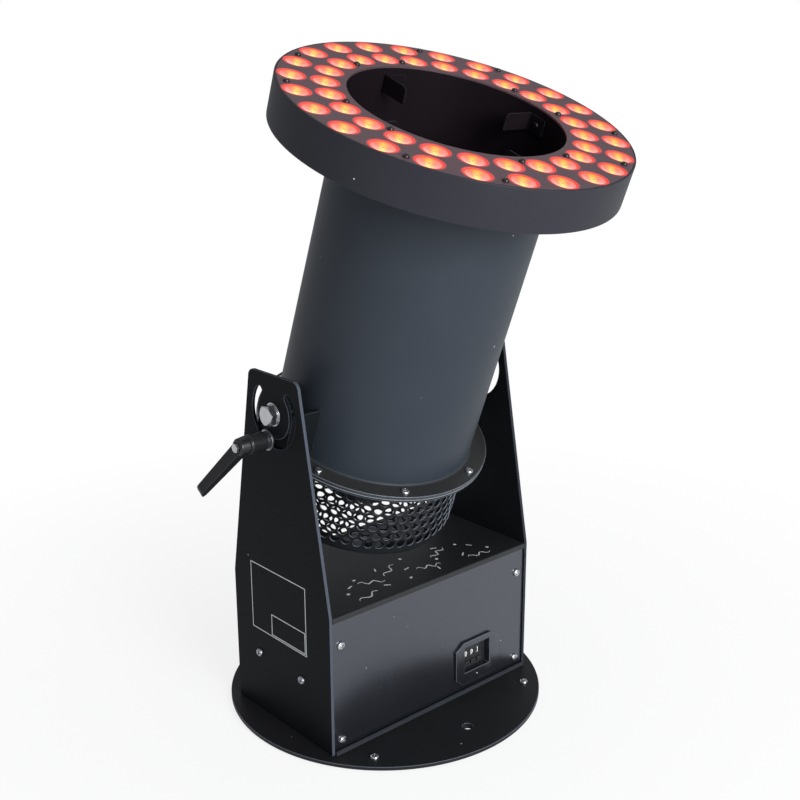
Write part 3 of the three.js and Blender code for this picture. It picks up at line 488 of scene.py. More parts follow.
# Black plastic; its edge colour is a painted highlight on bevelled edges.
PLASTIC = Finish(
    "black_plastic", "black_plastic", (0.010, 0.010, 0.011), (0.014, 0.014, 0.015), 0.38,
    edge=(0.04, 0.042, 0.046), grain_scale=1600.0, grain_depth=0.015 * MM,
)
# Painted shade and painted reflection tint: the bezel takes the panels' darker tone and bluish reflection
# tint, and its edge colour paints a highlight on its chamfer.
BEZEL = replace(
    PANEL_SHADED_COAT, name="bezel_black", slot="black_plastic", edge=(0.07, 0.073, 0.08), grain_scale=1600.0,
    grain_depth=0.015 * MM,
)
RUBBER = Finish(
    "rubber", "rubber", (0.012, 0.012, 0.012), (0.02, 0.02, 0.02), 0.85,
    grain_scale=700.0, grain_depth=0.08 * MM, speck_amount=0.1,
)
ZINC = Finish(
    "zinc", "zinc", (0.62, 0.62, 0.63), (0.5, 0.5, 0.52), 0.27,
    metallic=1.0, patch_scale=160.0, grain_scale=1200.0, grain_depth=0.01 * MM,
)
DARK_METAL = Finish(
    "dark_metal", "dark_metal", (0.09, 0.09, 0.1), (0.13, 0.13, 0.135), 0.36,
    metallic=0.9, patch_scale=60.0, grain_depth=0.02 * MM,
)
ALUMINIUM = Finish(
    "aluminium", "aluminium", (0.36, 0.37, 0.39), (0.28, 0.29, 0.3), 0.38,
    metallic=1.0, patch_scale=40.0, grain_scale=1500.0, grain_depth=0.02 * MM,
)
BLACK_SCREW = Finish(
    "black_screw", "dark_metal", (0.03, 0.026, 0.027), (0.045, 0.04, 0.04), 0.22,
    metallic=0.7, patch_scale=200.0, grain_depth=0.01 * MM,
)
WHEEL = Finish(
    "wheel_black", "numeral_white", (0.012, 0.012, 0.013), (0.016, 0.016, 0.017), 0.4,
    grain_scale=1500.0, grain_depth=0.01 * MM,
)
NUMERAL = Finish(
    "numeral_white", "numeral_white", (0.82, 0.82, 0.8), (0.74, 0.74, 0.72), 0.5,
    grain_scale=1500.0, grain_depth=0.01 * MM,
)
PRINT = Finish(
    "print_grey", "powder_coat", (0.62, 0.63, 0.63), (0.5, 0.51, 0.51), 0.55,
    patch_scale=300.0, grain_scale=1200.0, grain_depth=0.01 * MM,
)
BOARD = Finish(
    "circuit_board", "circuit_board", (0.012, 0.1, 0.04), (0.02, 0.14, 0.05), 0.4,
    patch_scale=250.0, grain_scale=1500.0, grain_depth=0.02 * MM,
)
# The face plate's coat, with a painted red glow round each lens: the plate itself gives out the light. Its
# base colour, lighter and redder than the powder coat's, is partly painted red light.
RING_FACE = PaintedGlowFinish(
    "ring_face_coat_and_painted_glow", "powder_coat", (0.044, 0.037, 0.042), (0.052, 0.044, 0.049), 0.5,
    specular=0.4, edge=(0.08, 0.06, 0.065), speck_amount=0.04,
    stops=(
        (0.0, (0.03, 0.002, 0.003)), (0.3, (0.2, 0.007, 0.008)), (0.65, (0.55, 0.02, 0.016)),
        (1.0, (1.0, 0.05, 0.02)),
    ),
)
LENS = PaintedGlow(
    "lens_red", "lens_red", (0.05, 0.012, 0.01), (0.06, 0.014, 0.011), 0.14,
    coat=0.5, coat_roughness=0.08, grain_scale=300.0, grain_depth=0.01 * MM,
)


def show(name: str, data: bpy.types.ID) -> bpy.types.Object:
    """Add an object with this data to the scene."""
    made = bpy.data.objects.new(name, data)
    bpy.context.scene.collection.objects.link(made)
    return made


def mesh_object(name: str, bm: BMesh) -> bpy.types.Object:
    """Add an object with this shape to the scene.

    Args:
        name: The object's name and its mesh's.
        bm: The shape, which is freed.

    Returns:
        The object.
    """
    mesh = bpy.data.meshes.new(name)
    bm.to_mesh(mesh)
    bm.free()
    return show(name, mesh)


def only(kind: type, geometry: Iterable[object]) -> list:
    """Return the elements of one kind."""
    return [g for g in geometry if isinstance(g, kind)]


def turn_z(degrees: float) -> Matrix:
    """Return a turn about z."""
    return Matrix.Rotation(math.radians(degrees), 4, "Z")


def circle(radius: float, count: int, centre: Point = (0.0, 0.0), phase: float = 0.0) -> list[Point]:
    """Return points evenly round a circle.

    Args:
        radius: The circle's radius.
        count: How many points.
        centre: The circle's centre.
        phase: The first point's angle in radians.

    Returns:
        The points, counter-clockwise.
    """
    turns = (phase + math.tau * i / count for i in range(count))
    return [(centre[0] + radius * math.cos(a), centre[1] + radius * math.sin(a)) for a in turns]


def arc(radius: float, start: float, end: float, steps: int, centre: Point = (0.0, 0.0)) -> list[Point]:
    """Return points along an arc, both ends included.

    Args:
        radius: The arc's radius.
        start: Its first angle in degrees.
        end: Its last angle in degrees.
        steps: How many chords.
        centre: Its centre.

    Returns:
        The points.
    """
    turns = (math.radians(start + (end - start) * i / steps) for i in range(steps + 1))
    return [(centre[0] + radius * math.cos(a), centre[1] + radius * math.sin(a)) for a in turns]


def rounded(points: Sequence[Point], radius: float, steps: int = 4, closed: bool = True) -> list[Point]:
    """Round the corners of an outline.

    Args:
        points: The outline's corners.
        radius: The radius of each corner, less where its sides are short.
        steps: How many chords a corner has.
        closed: Whether the last point joins the first; if not, both ends stay as they are.

    Returns:
        The outline with rounded corners.
    """
    corners = [Vector(p) for p in points]
    most = HALF * 0.98
    made: list[Point] = []
    for i, corner in enumerate(corners):
        if not closed and i in (0, len(corners) - 1):
            made.append(tuple(corner))
            continue
        before, after = corners[i - 1] - corner, corners[(i + 1) % len(corners)] - corner
        reach = min(radius, before.length * most, after.length * most)
        start, end = corner + before.normalized() * reach, corner + after.normalized() * reach
        for k in range(steps + 1):
            t = k / steps
            made.append(tuple(start * (1 - t) ** 2 + corner * 2 * t * (1 - t) + end * t ** 2))
    return made


def box_outline(low: Point, high: Point) -> list[Point]:
    """Return the corners of an upright rectangle, counter-clockwise."""
    return [low, (high[0], low[1]), high, (low[0], high[1])]


def loop(bm: BMesh, points: Sequence[Point], height: float = 0.0) -> list[BMEdge]:
    """Add a closed loop of edges.

    Args:
        bm: The mesh.
        points: The loop's points in x and y.
        height: Their z.

    Returns:
        The loop's edges.
    """
    verts = [bm.verts.new((x, y, height)) for x, y in points]
    return [bm.edges.new((a, b)) for a, b in zip(verts, verts[1:] + verts[:1])]


def fill(bm: BMesh, edges: Sequence[BMEdge]) -> list[BMFace]:
    """Fill flat loops of edges, leaving the inner ones open.

    Args:
        bm: The mesh.
        edges: The edges of the outline and of its holes.

    Returns:
        The new faces.
    """
    verts = list({v for e in edges for v in e.verts})
    bmesh.ops.scale(bm, verts=verts, vec=(FILL_SCALE,) * 3)
    filled = bmesh.ops.triangle_fill(bm, edges=list(edges), use_beauty=True, normal=(0, 0, 1))
    bmesh.ops.scale(bm, verts=verts, vec=(1 / FILL_SCALE,) * 3)
    return only(BMFace, filled["geom"])


def sheet_faces(bm: BMesh, outer: Sequence[Point], holes: Iterable[Sequence[Point]] = (),
                height: float = 0.0) -> list[BMFace]:
    """Fill a flat outline, leaving its holes open.

    Args:
        bm: The mesh.
        outer: The outline.
        holes: The outlines of its holes.
        height: The sheet's z.

    Returns:
        The new faces.
    """
    edges = loop(bm, outer, height)
    for hole in holes:
        edges += loop(bm, hole, height)
    return fill(bm, edges)


def thicken(bm: BMesh, faces: Sequence[BMFace], depth: float) -> None:
    """Extrude flat faces along z into a closed solid.

    Args:
        bm: The mesh.
        faces: The faces.
        depth: How far, up or down.
    """
    raised = bmesh.ops.extrude_face_region(bm, geom=list(faces))["geom"]
    bmesh.ops.translate(bm, verts=only(BMVert, raised), vec=(0, 0, depth))


def plate(bm: BMesh, outer: Sequence[Point], low: float, high: float,
          holes: Iterable[Sequence[Point]] = ()) -> None:
    """Add a plate between two heights.

    Args:
        bm: The mesh.
        outer: Its outline.
        low: Its lower z.
        high: Its upper z.
        holes: The outlines of the holes through it.
    """
    thicken(bm, sheet_faces(bm, outer, holes, low), high - low)


def plate_mesh(outer: Sequence[Point], low: float, high: float,
               holes: Iterable[Sequence[Point]] = ()) -> BMesh:
    """Return a new mesh with a plate between two heights.

    Args:
        outer: Its outline.
        low: Its lower z.
        high: Its upper z.
        holes: The outlines of the holes through it.

    Returns:
        The mesh.
    """
    bm = bmesh.new()
    plate(bm, outer, low, high, holes)
    clean(bm)
    return bm


def revolve(bm: BMesh, profile: Sequence[Point], steps: int, closed: bool = True) -> None:
    """Turn a profile about z into a solid.

    Args:
        bm: The mesh.
        profile: Points of radius and height.
        steps: How many facets a full turn has.
        closed: Whether the profile's last point joins its first; if not, both ends are on the axis.
    """
    verts = [bm.verts.new((radius, 0, height)) for radius, height in profile]
    pairs = zip(verts, verts[1:] + verts[:1]) if closed else zip(verts, verts[1:])
    edges = [bm.edges.new(pair) for pair in pairs]
    bmesh.ops.spin(
        bm, geom=verts + edges, cent=(0, 0, 0), axis=(0, 0, 1), angle=math.tau, steps=steps, use_merge=True,
    )


def turned_mesh(profile: Sequence[Point], steps: int, closed: bool = True) -> BMesh:
    """Return a new mesh with a profile turned about z.

    Args:
        profile: Points of radius and height.
        steps: How many facets a full turn has.
        closed: Whether the profile's last point joins its first; if not, both ends are on the axis.

    Returns:
        The mesh.
    """
    bm = bmesh.new()
    revolve(bm, profile, steps, closed)
    clean(bm)
    return bm


def skirt(bm: BMesh, rim: Sequence[BMEdge], radius: float, height: float) -> list[BMEdge]:
    """Extrude a round open rim to another radius and height.

    Args:
        bm: The mesh.
        rim: The rim's edges.
        radius: The new rim's radius.
        height: Its z.

    Returns:
        The new rim's edges.
    """
    made = bmesh.ops.extrude_edge_only(bm, edges=list(rim))["geom"]
    for vert in only(BMVert, made):
        vert.co.xy = vert.co.xy.normalized() * radius
        vert.co.z = height
    return [e for e in only(BMEdge, made) if e.is_boundary]


def soften(bm: BMesh, width: float, segments: int = 2, sharper_than: float = 40.0) -> None:
    """Bevel the sharp edges and mark the new faces in the edge layer, where a finish's edge colour paints a
    highlight.

    Args:
        bm: The mesh.
        width: The bevel's width.
        segments: Its segments.
        sharper_than: The least angle in degrees between two faces that makes their edge sharp.
    """
    limit = math.radians(sharper_than)
    mark = bm.faces.layers.float.new(EDGE_HIGHLIGHT_LAYER)
    sharp = [e for e in bm.edges if e.is_manifold and e.calc_face_angle(0.0) > limit]
    made = bmesh.ops.bevel(
        bm, geom=sharp, offset=width, segments=segments, profile=0.5, affect="EDGES", material=-1,
        clamp_overlap=True,
    )
    for face in made["faces"]:
        face[mark] = 1.0


def slice_mesh(bm: BMesh, levels: Iterable[float], normal: Vector) -> None:
    """Cut a mesh along parallel planes, so that it can bend there.

    Args:
        bm: The mesh.
        levels: How far each plane lies from the origin.
        normal: The planes' normal.
    """
    for level in levels:
        geometry = bm.verts[:] + bm.edges[:] + bm.faces[:]
        bmesh.ops.bisect_plane(bm, geom=geometry, plane_co=normal * level, plane_no=normal)


def clean(bm: BMesh) -> None:
    """Merge doubles and turn every face outwards."""
    bmesh.ops.remove_doubles(bm, verts=bm.verts, dist=SAME)
    bmesh.ops.recalc_face_normals(bm, faces=bm.faces)


def scatter(bm: BMesh, unit: BMesh, places: Iterable[Matrix]) -> None:
    """Copy a small shape to many places.

    Args:
        bm: The mesh that gets the copies.
        unit: The shape, which is freed afterwards.
        places: Where each copy goes.
    """
    mesh = bpy.data.meshes.new("unit")
    clean(unit)
    unit.to_mesh(mesh)
    unit.free()
    for place in places:
        copy = mesh.copy()
        copy.transform(place)
        bm.from_mesh(copy)
        bpy.data.meshes.remove(copy)
    bpy.data.meshes.remove(mesh)


def ring_places(radius: float, height: float, degrees: Iterable[float]) -> list[Matrix]:
    """Return upright places on a circle round z.

    Args:
        radius: The circle's radius.
        height: Its z.
        degrees: The places' angles.

    Returns:
        A matrix for each place, with its own x outwards.
    """
    spot = Matrix.Translation((radius, 0, height))
    return [turn_z(a) @ spot for a in degrees]


@dataclass(frozen=True)
class PanScrew:
    """A pan-head screw with a cross recess, head up, its seat at z = 0."""

    radius: float = 4.0 * MM
    height: float = 2.3 * MM
    sides: int = 24
    crown: float = 0.72
    cross_reach: float = 0.52
    cross_width: float = 0.15
    cross_depth: float = 0.55
    cross_taper: float = 0.75
    rings: tuple[Point, ...] = ((0.9, 0.8), (1.0, 0.496), (1.0, 0.0))

    def build(self) -> BMesh:
        """Build the head from its flat crown outwards.

        Returns:
            The screw's head.
        """
        bm = bmesh.new()
        reach, width = self.radius * self.cross_reach, self.radius * self.cross_width
        inner = self.radius * self.crown
        corner = [(width, width), (width, reach), (-width, reach)]
        cross = [
            (x * math.cos(a) - y * math.sin(a), x * math.sin(a) + y * math.cos(a))
            for a in (QUARTER_TURN * i for i in range(4)) for x, y in corner
        ]
        sheet_faces(bm, circle(inner, self.sides), [cross], self.height)
        slot = [e for e in bm.edges if e.is_boundary and all(v.co.xy.length < inner - NEAR for v in e.verts)]
        down = bmesh.ops.extrude_edge_only(bm, edges=slot)["geom"]
        floor = only(BMVert, down)
        bmesh.ops.translate(bm, verts=floor, vec=(0, 0, -self.height * self.cross_depth))
        bmesh.ops.scale(bm, verts=floor, vec=(self.cross_taper, self.cross_taper, 1.0))
        bottom = [e for e in only(BMEdge, down) if e.is_boundary]
        bmesh.ops.triangle_fill(bm, edges=bottom, use_beauty=True)
        rim = [e for e in bm.edges if e.is_boundary]
        for share, height in self.rings:
            rim = skirt(bm, rim, self.radius * share, self.height * height)
        bmesh.ops.contextual_create(bm, geom=rim)
        return bm


@dataclass(frozen=True)
class HexHead:
    """A hexagon head with chamfered corners and a shallow dish on top, its seat at z = 0."""

    corner: float
    height: float
    sides: int = 24
    chamfer: float = 1 / math.sqrt(3) + 0.11
    chamfer_start: float = 0.96
    crown: float = 0.94
    dish: tuple[Point, ...] = ((0.18, 0.0), (0.16, -0.045), (0.3, -0.012))

    def build(self) -> BMesh:
        """Build the head from its seat up.

        Returns:
            The head.
        """
        bm = bmesh.new()
        flat = self.corner * math.cos(math.pi / 6)
        verts = []
        for x, y in circle(1.0, self.sides):
            reach = flat / math.cos(math.atan2(y, x) % (math.pi / 3) - math.pi / 6)
            verts.append(bm.verts.new((x * reach, y * reach, 0)))
        walls = bmesh.ops.extrude_face_region(bm, geom=[bm.faces.new(verts)])["geom"]
        for vert in only(BMVert, walls):
            vert.co.z = self.height - (vert.co.xy.length - flat * self.chamfer_start) * self.chamfer
        slope = bmesh.ops.extrude_face_region(bm, geom=only(BMFace, walls)[:1])["geom"]
        for vert in only(BMVert, slope):
            vert.co.xy = vert.co.xy.normalized() * flat * self.crown
            vert.co.z = self.height
        cap = only(BMFace, slope)[:1]
        for inset, depth in self.dish:
            bmesh.ops.inset_region(bm, faces=cap, thickness=flat * inset, depth=flat * depth)
        return bm


@dataclass(frozen=True)
class HexBolt:
    """A hexagon bolt with its point at z = 0, and a flange under its head if it has one."""

    radius: float
    head: HexHead
    flange: float = 0.0
    flange_depth: float = 1.6 * MM
    flange_edge: float = 0.3 * MM
    point: float = 0.5 * MM
    flange_sides: int = 40
    sides: int = 32

    def build(self, length: float) -> BMesh:
        """Build the bolt.

        Args:
            length: Its length over all.

        Returns:
            The bolt.
        """
        bm = self.head.build()
        seat = length - self.head.height
        bmesh.ops.translate(bm, verts=bm.verts, vec=(0, 0, seat))
        if self.flange:
            low = seat - self.flange_depth
            rim = [(0.0, low), (self.flange, low), (self.flange, seat), (0.0, seat)]
            revolve(bm, rounded(rim, self.flange_edge, 3, closed=False), self.flange_sides, closed=False)
        shank = [
            (0.0, 0.0), (self.radius - self.point, 0.0), (self.radius, self.point), (self.radius, seat),
            (0.0, seat),
        ]
        revolve(bm, shank, self.sides, closed=False)
        return bm


@dataclass
class Assembly:
    """A sub-assembly: its CAD nodes, its axes in the frame and the pieces that it dresses."""

    nodes: dict[str, bpy.types.Object]
    groups: SurfaceGroup
    place: Matrix = field(default_factory=Matrix)
    body: str = "base"

    def box(self, node: str) -> Box:
        """Return a CAD node's box in the assembly's own axes.

        Args:
            node: The node's name.

        Returns:
            The box.
        """
        back = self.place.inverted()
        points = [back @ v.co for v in self.nodes[node].data.vertices]
        low = Vector(min(p[i] for p in points) for i in range(3))
        high = Vector(max(p[i] for p in points) for i in range(3))
        return Box(low, high)

    def piece(self, name: str, bm: BMesh, finish: Finish, replaces: Sequence[str] = (),
              body: str | None = None, axes: Matrix | None = None, smooth: float = 38.0) -> bpy.types.Object:
        """Make a finished piece of a mesh, in place and riding on its body.

        Args:
            name: The piece's name.
            bm: Its mesh, which is freed.
            finish: Its finish.
            replaces: The CAD nodes that it stands for.
            body: The CAD body that it rides on, if not the assembly's.
            axes: How its own axes lie in the assembly's.
            smooth: The least angle in degrees that shades as a sharp edge.

        Returns:
            The piece's object.
        """
        clean(bm)
        bm.transform(self.place @ (axes or Matrix()))
        made = mesh_object(name, bm)
        mesh = made.data
        mesh.polygons.foreach_set("use_smooth", [True] * len(mesh.polygons))
        mesh.set_sharp_from_angle(angle=math.radians(smooth))
        mesh.materials.append(finish.material(self.groups))
        made.modifiers.new("flat_faces", "WEIGHTED_NORMAL").keep_sharp = True
        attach(made, body or self.body)
        if replaces:
            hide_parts(*replaces)
        LOG.info("%s: %d faces", name, len(mesh.polygons))
        return made

    def dress(self, node: str, finish: Finish) -> None:
        """Give a CAD node that keeps its own shape its finish.

        Args:
            node: The node's name.
            finish: The finish.
        """
        slots = self.nodes[node].data.materials
        slots.clear()
        slots.append(finish.material(self.groups))
        LOG.info("%s: dressed", node)

    def refine(self, node: str, finish: Finish, width: float, body: str | None = None,
               segments: int = 2, sharper_than: float = 50.0) -> None:
        """Stand a copy of a CAD node with softened edges in its place.

        Args:
            node: The node's name.
            finish: Its finish.
            width: The width of its softened edges.
            body: The CAD body that it rides on, if not the assembly's.
            segments: The segments of a softened edge.
            sharper_than: The least angle in degrees of an edge that is softened.
        """
        bm = bmesh.new()
        bm.from_mesh(self.nodes[node].data)
        bm.transform(self.place.inverted())
        bmesh.ops.remove_doubles(bm, verts=bm.verts, dist=CAD_SAME)
        soften(bm, width, segments, sharper_than)
        self.piece(f"{node}_fine", bm, finish, [node], body)

    def screws(self, name: str, kind: PanScrew, finish: Finish, places: Iterable[Matrix],
               replaces: Sequence[str] = ()) -> None:
        """Make one piece of like screws.

        Args:
            name: The piece's name.
            kind: The screw.
            finish: Its finish.
            places: Where the screws sit, in the assembly's axes.
            replaces: The CAD nodes that they stand for.
        """
        bm = bmesh.new()
        scatter(bm, kind.build(), places)
        self.piece(name, bm, finish, replaces)

    @staticmethod
    def along_x(start: float, side: int, middle: Vector) -> Matrix:
        """Return the axes of a turned shape that is laid along x.

        Args:
            start: The x of its z = 0.
            side: -1 to lay it to the left, 1 to the right.
            middle: A point whose y and z its axis goes through.

        Returns:
            The matrix from its own axes to the assembly's.
        """
        return Matrix.Translation((start, middle.y, middle.z)) @ Matrix.Rotation(side * QUARTER_TURN, 4, "Y")


@dataclass
class BasePlate(Assembly):
    """The round base plate, its rubber pad and the screws that hold them together."""

    bolt_hole: float = 5.0 * MM
    bolt_distance: float = 117.0 * MM
    screw_circle: float = 138.0 * MM
    screw_angles: tuple[int, ...] = (45, 135, 225, 315)
    edge: float = 0.5 * MM
    sides: int = 160
    hole_sides: int = 32

    def build(self) -> None:
        """Build the plate, the pad and the screws."""
        spots = [(0.0, end * self.bolt_distance) for end in (-1, 1)]
        holes = [circle(self.bolt_hole, self.hole_sides, spot) for spot in spots]
        for node, finish in (("base_pad", RUBBER), ("base_plate", BASE_SHADED_COAT)):
            low, high = self.box(node)
            bm = plate_mesh(circle(high.x, self.sides), low.z, high.z, holes)
            soften(bm, self.edge)
            self.piece(f"{node}_round", bm, finish, [node])
        places = ring_places(self.screw_circle, self.box("base_plate").high.z, self.screw_angles)
        self.screws("base_plate_screws", PanScrew(), ZINC, places)


@dataclass
class ControlBox(Assembly):
    """The sheet-metal box between the side plates, with its panels, cover and printed cover design."""

    pivot_height: float = 0.0
    arm_top_half: float = 36.5 * MM
    arm_round: float = 8.0 * MM
    slot_radius: float = 27.0 * MM
    slot_half_width: float = 4.5 * MM
    slot_half_angle: float = 130.0
    slot_steps: int = 64
    pivot_bore: float = 5.3 * MM
    bore_sides: int = 32
    round_steps: int = 10
    tray_edge: float = 0.5 * MM
    edge: float = 0.35 * MM
    # How strongly the rim faces of the left and of the right side plate take the painted edge highlight.
    rim_highlights: tuple[float, float] = (0.8, 0.25)
    sheet: float = 1.5 * MM
    fold: float = 1.6 * MM
    side_screws: tuple[Point, ...] = ((-29.5 * MM, 64.9 * MM), (35.3 * MM, 66.7 * MM))
    label_low: Point = (-38.0 * MM, 91.0 * MM)
    label_high: Point = (45.0 * MM, 158.0 * MM)
    inset_high: Point = (14.7 * MM, 114.0 * MM)
    line: float = 0.9 * MM
    print_depth: float = 0.06 * MM

    def build(self) -> None:
        """Build the box from the tray up."""
        self.refine("chassis", TRAY_COAT, self.tray_edge)
        self.refine("front_panel", PANEL_SHADED_COAT, self.edge)
        self.refine("rear_panel", PANEL_SHADED_COAT, self.edge)
        self._cover()
        for side in (-1, 1):
            self._side_plate(side)
        self._panel_screws()
        self._label()
        CoverPrint(self).build(*self.box("top_cover"))

    def _cover(self) -> None:
        """Build the top cover: one sheet with its front and rear lips folded down."""
        low, high = self.box("top_cover")
        outer = rounded(
            [(low.y, low.z), (low.y, high.z), (high.y, high.z), (high.y, low.z)], self.fold, 5, closed=False,
        )
        under, front, rear = high.z - self.sheet, low.y + self.sheet, high.y - self.sheet
        inner = [(rear, low.z), (rear, under), (front, under), (front, low.z)]
        bm = plate_mesh(outer + inner, low.x, high.x)
        self.piece("top_cover_folded", bm, COVER_SHADED_COAT, ["top_cover"], axes=Axis.X.matrix())

    def _side_plate(self, side: int) -> None:
        """Build one side plate with its taper, its arc slot and the pivot's bore.

        Args:
            side: -1 for the left, 1 for the right.
        """
        node = "side_plate_left" if side < 0 else "side_plate_right"
        low, high = self.box(node)
        box_top = self.box("top_cover").high.z
        pivot = (0.0, self.pivot_height)
        round_y = self.arm_top_half - self.arm_round
        corner = arc(self.arm_round, 0, 90, self.round_steps, (round_y, high.z - self.arm_round))
        half = [(high.y, low.z), (high.y, box_top), *corner]
        outline = half + [(-y, z) for y, z in reversed(half)]
        bore = circle(self.pivot_bore, self.bore_sides, pivot)
        bm = plate_mesh(outline, low.x, high.x, [self._slot(pivot), bore])
        soften(bm, self.edge)
        mark = bm.faces.layers.float[EDGE_HIGHLIGHT_LAYER]
        past_slot = self.slot_radius + 2 * self.slot_half_width
        for face in bm.faces:
            is_rim = (face.calc_center_median().xy - Vector(pivot)).length > past_slot
            if is_rim and abs(face.normal.z) < HALF:
                # Painted highlight on the rim faces, stronger on the left plate than on the right.
                face[mark] = self.rim_highlights[side > 0]
        self.piece(f"{node}_cut", bm, PLATE_SHADED_COAT, [node], axes=Axis.X.matrix())

    def _slot(self, pivot: Point) -> list[Point]:
        """Return the outline of the arc slot, which runs round below the pivot.

        Args:
            pivot: The arc's centre.

        Returns:
            The outline's points.
        """
        first, last = -90 - self.slot_half_angle, -90 + self.slot_half_angle
        outline = []
        for start, end, way in ((first, last, 1), (last, first, -1)):
            radius = self.slot_radius + way * self.slot_half_width
            outline += arc(radius, start, end, self.slot_steps, pivot)
            centre = arc(self.slot_radius, end, end, 1, pivot)[0]
            turn = end if way > 0 else end + 180
            outline += arc(self.slot_half_width, turn, turn + 180, self.round_steps, centre)[1:-1]
        return outline

    def _panel_screws(self) -> None:
        """Put cross-head screws in both panels and both side plates."""
        front, rear = self.box("front_panel").low.y, self.box("rear_panel").high.y
        rear_places = []
        for i in range(1, 5):
            node = f"front_panel_screw_{i}"
            x, _, z = self.box(node).middle
            turn = Matrix.Rotation(i, 4, "Z")
            place = Axis.MINUS_Y.at(x, front, z) @ turn
            self.screws(f"{node}_cross", PanScrew(), ZINC, [place], [node])
            rear_places.append(Axis.PLUS_Y.at(x, rear, z) @ turn)
        self.screws("rear_panel_screws", PanScrew(), ZINC, rear_places)
        for node, axis in (("side_plate_left", Axis.MINUS_X), ("side_plate_right", Axis.X)):
            low, high = self.box(node)
            face = low.x if axis is Axis.MINUS_X else high.x
            places = [axis.at(face, y, z) for y, z in self.side_screws]
            self.screws(f"{node}_screws", PanScrew(), ALUMINIUM, places)

    def _label(self) -> None:
        """Rule a blank label on the left side plate: one frame, and a smaller one in its corner."""
        face = self.box("side_plate_left").low.x
        bm = bmesh.new()
        for start, high in ((0.0, self.label_high), (2 * self.line, self.inset_high)):
            low = tuple(c + start for c in self.label_low)
            window = box_outline(tuple(c + self.line for c in low), tuple(c - self.line for c in high))
            plate(bm, box_outline(low, high), face - self.print_depth, face, [window])
        self.piece("blank_label", bm, PRINT, axes=Axis.X.matrix())


@dataclass
class CoverPrint:
    """The printed design on the cover: dots, dashes and wavy streamers, scattered at given places.

    Each mark's place is given as shares of the cover's width and depth from its front left, then its turn in
    degrees and, for a streamer, how many waves it has.
    """

    owner: ControlBox
    stroke: float = 0.7 * MM
    dot_radius: float = 1.7 * MM
    dot_sides: int = 16
    dash_half: float = 3.2 * MM
    dash_round: float = 0.3 * MM
    wave_length: float = 26.0 * MM
    wave_swing: float = 2.6 * MM
    wave_steps: int = 40
    wave_end: float = 0.35
    dots: tuple[Point, ...] = (
        (0.17, 0.20), (0.26, 0.33), (0.44, 0.12), (0.52, 0.38), (0.63, 0.22), (0.78, 0.31), (0.86, 0.13),
    )
    dashes: tuple[tuple[float, float, float], ...] = (
        (0.21, 0.27, 20.0), (0.33, 0.14, -35.0), (0.38, 0.36, 60.0), (0.48, 0.24, 10.0),
        (0.58, 0.11, 75.0), (0.69, 0.36, -20.0), (0.74, 0.16, 40.0), (0.82, 0.24, -60.0),
    )
    waves: tuple[tuple[float, float, float, float], ...] = (
        (0.22, 0.10, 12.0, 1.5), (0.30, 0.24, -24.0, 2.0), (0.42, 0.30, 32.0, 1.5),
        (0.56, 0.17, -14.0, 2.5), (0.67, 0.29, 24.0, 2.0), (0.79, 0.09, -8.0, 2.0),
    )

    def build(self, low: Vector, high: Vector) -> None:
        """Print the design on the cover.

        Args:
            low: The cover's lowest corner.
            high: Its highest corner.
        """
        dot = circle(self.dot_radius, self.dot_sides)
        reach = (self.dash_half, self.stroke)
        dash = rounded(box_outline((-reach[0], -reach[1]), reach), self.dash_round)
        marks = [(dot, *place, 0.0) for place in self.dots]
        marks += [(dash, *place) for place in self.dashes]
        marks += [(self._wave(count), *place) for *place, count in self.waves]
        bm = bmesh.new()
        for outline, x_share, y_share, degrees in marks:
            x, y = low.x + (high.x - low.x) * x_share, low.y + (high.y - low.y) * y_share
            unit = plate_mesh(outline, 0.0, self.owner.print_depth)
            scatter(bm, unit, [Matrix.Translation((x, y, high.z)) @ turn_z(degrees)])
        self.owner.piece("cover_print", bm, PRINT)

    def _wave(self, count: float) -> list[Point]:
        """Return the outline of a wavy streamer that narrows to its ends.

        Args:
            count: How many waves it has.

        Returns:
            The outline's points.
        """
        left, right = [], []
        for i in range(self.wave_steps + 1):
            share = i / self.wave_steps
            turn = math.tau * count * share
            spot = Vector((self.wave_length * (share - HALF), self.wave_swing * math.sin(turn)))
            rise = self.wave_swing * math.tau * count * math.cos(turn)
            slope = Vector((self.wave_length, rise)).normalized()
            width = self.stroke * (self.wave_end + (1 - self.wave_end) * math.sin(math.pi * share))
            across = Vector((-slope.y, slope.x)) * width
            left.append(tuple(spot + across))
            right.append(tuple(spot - across))
        return right + left[::-1]


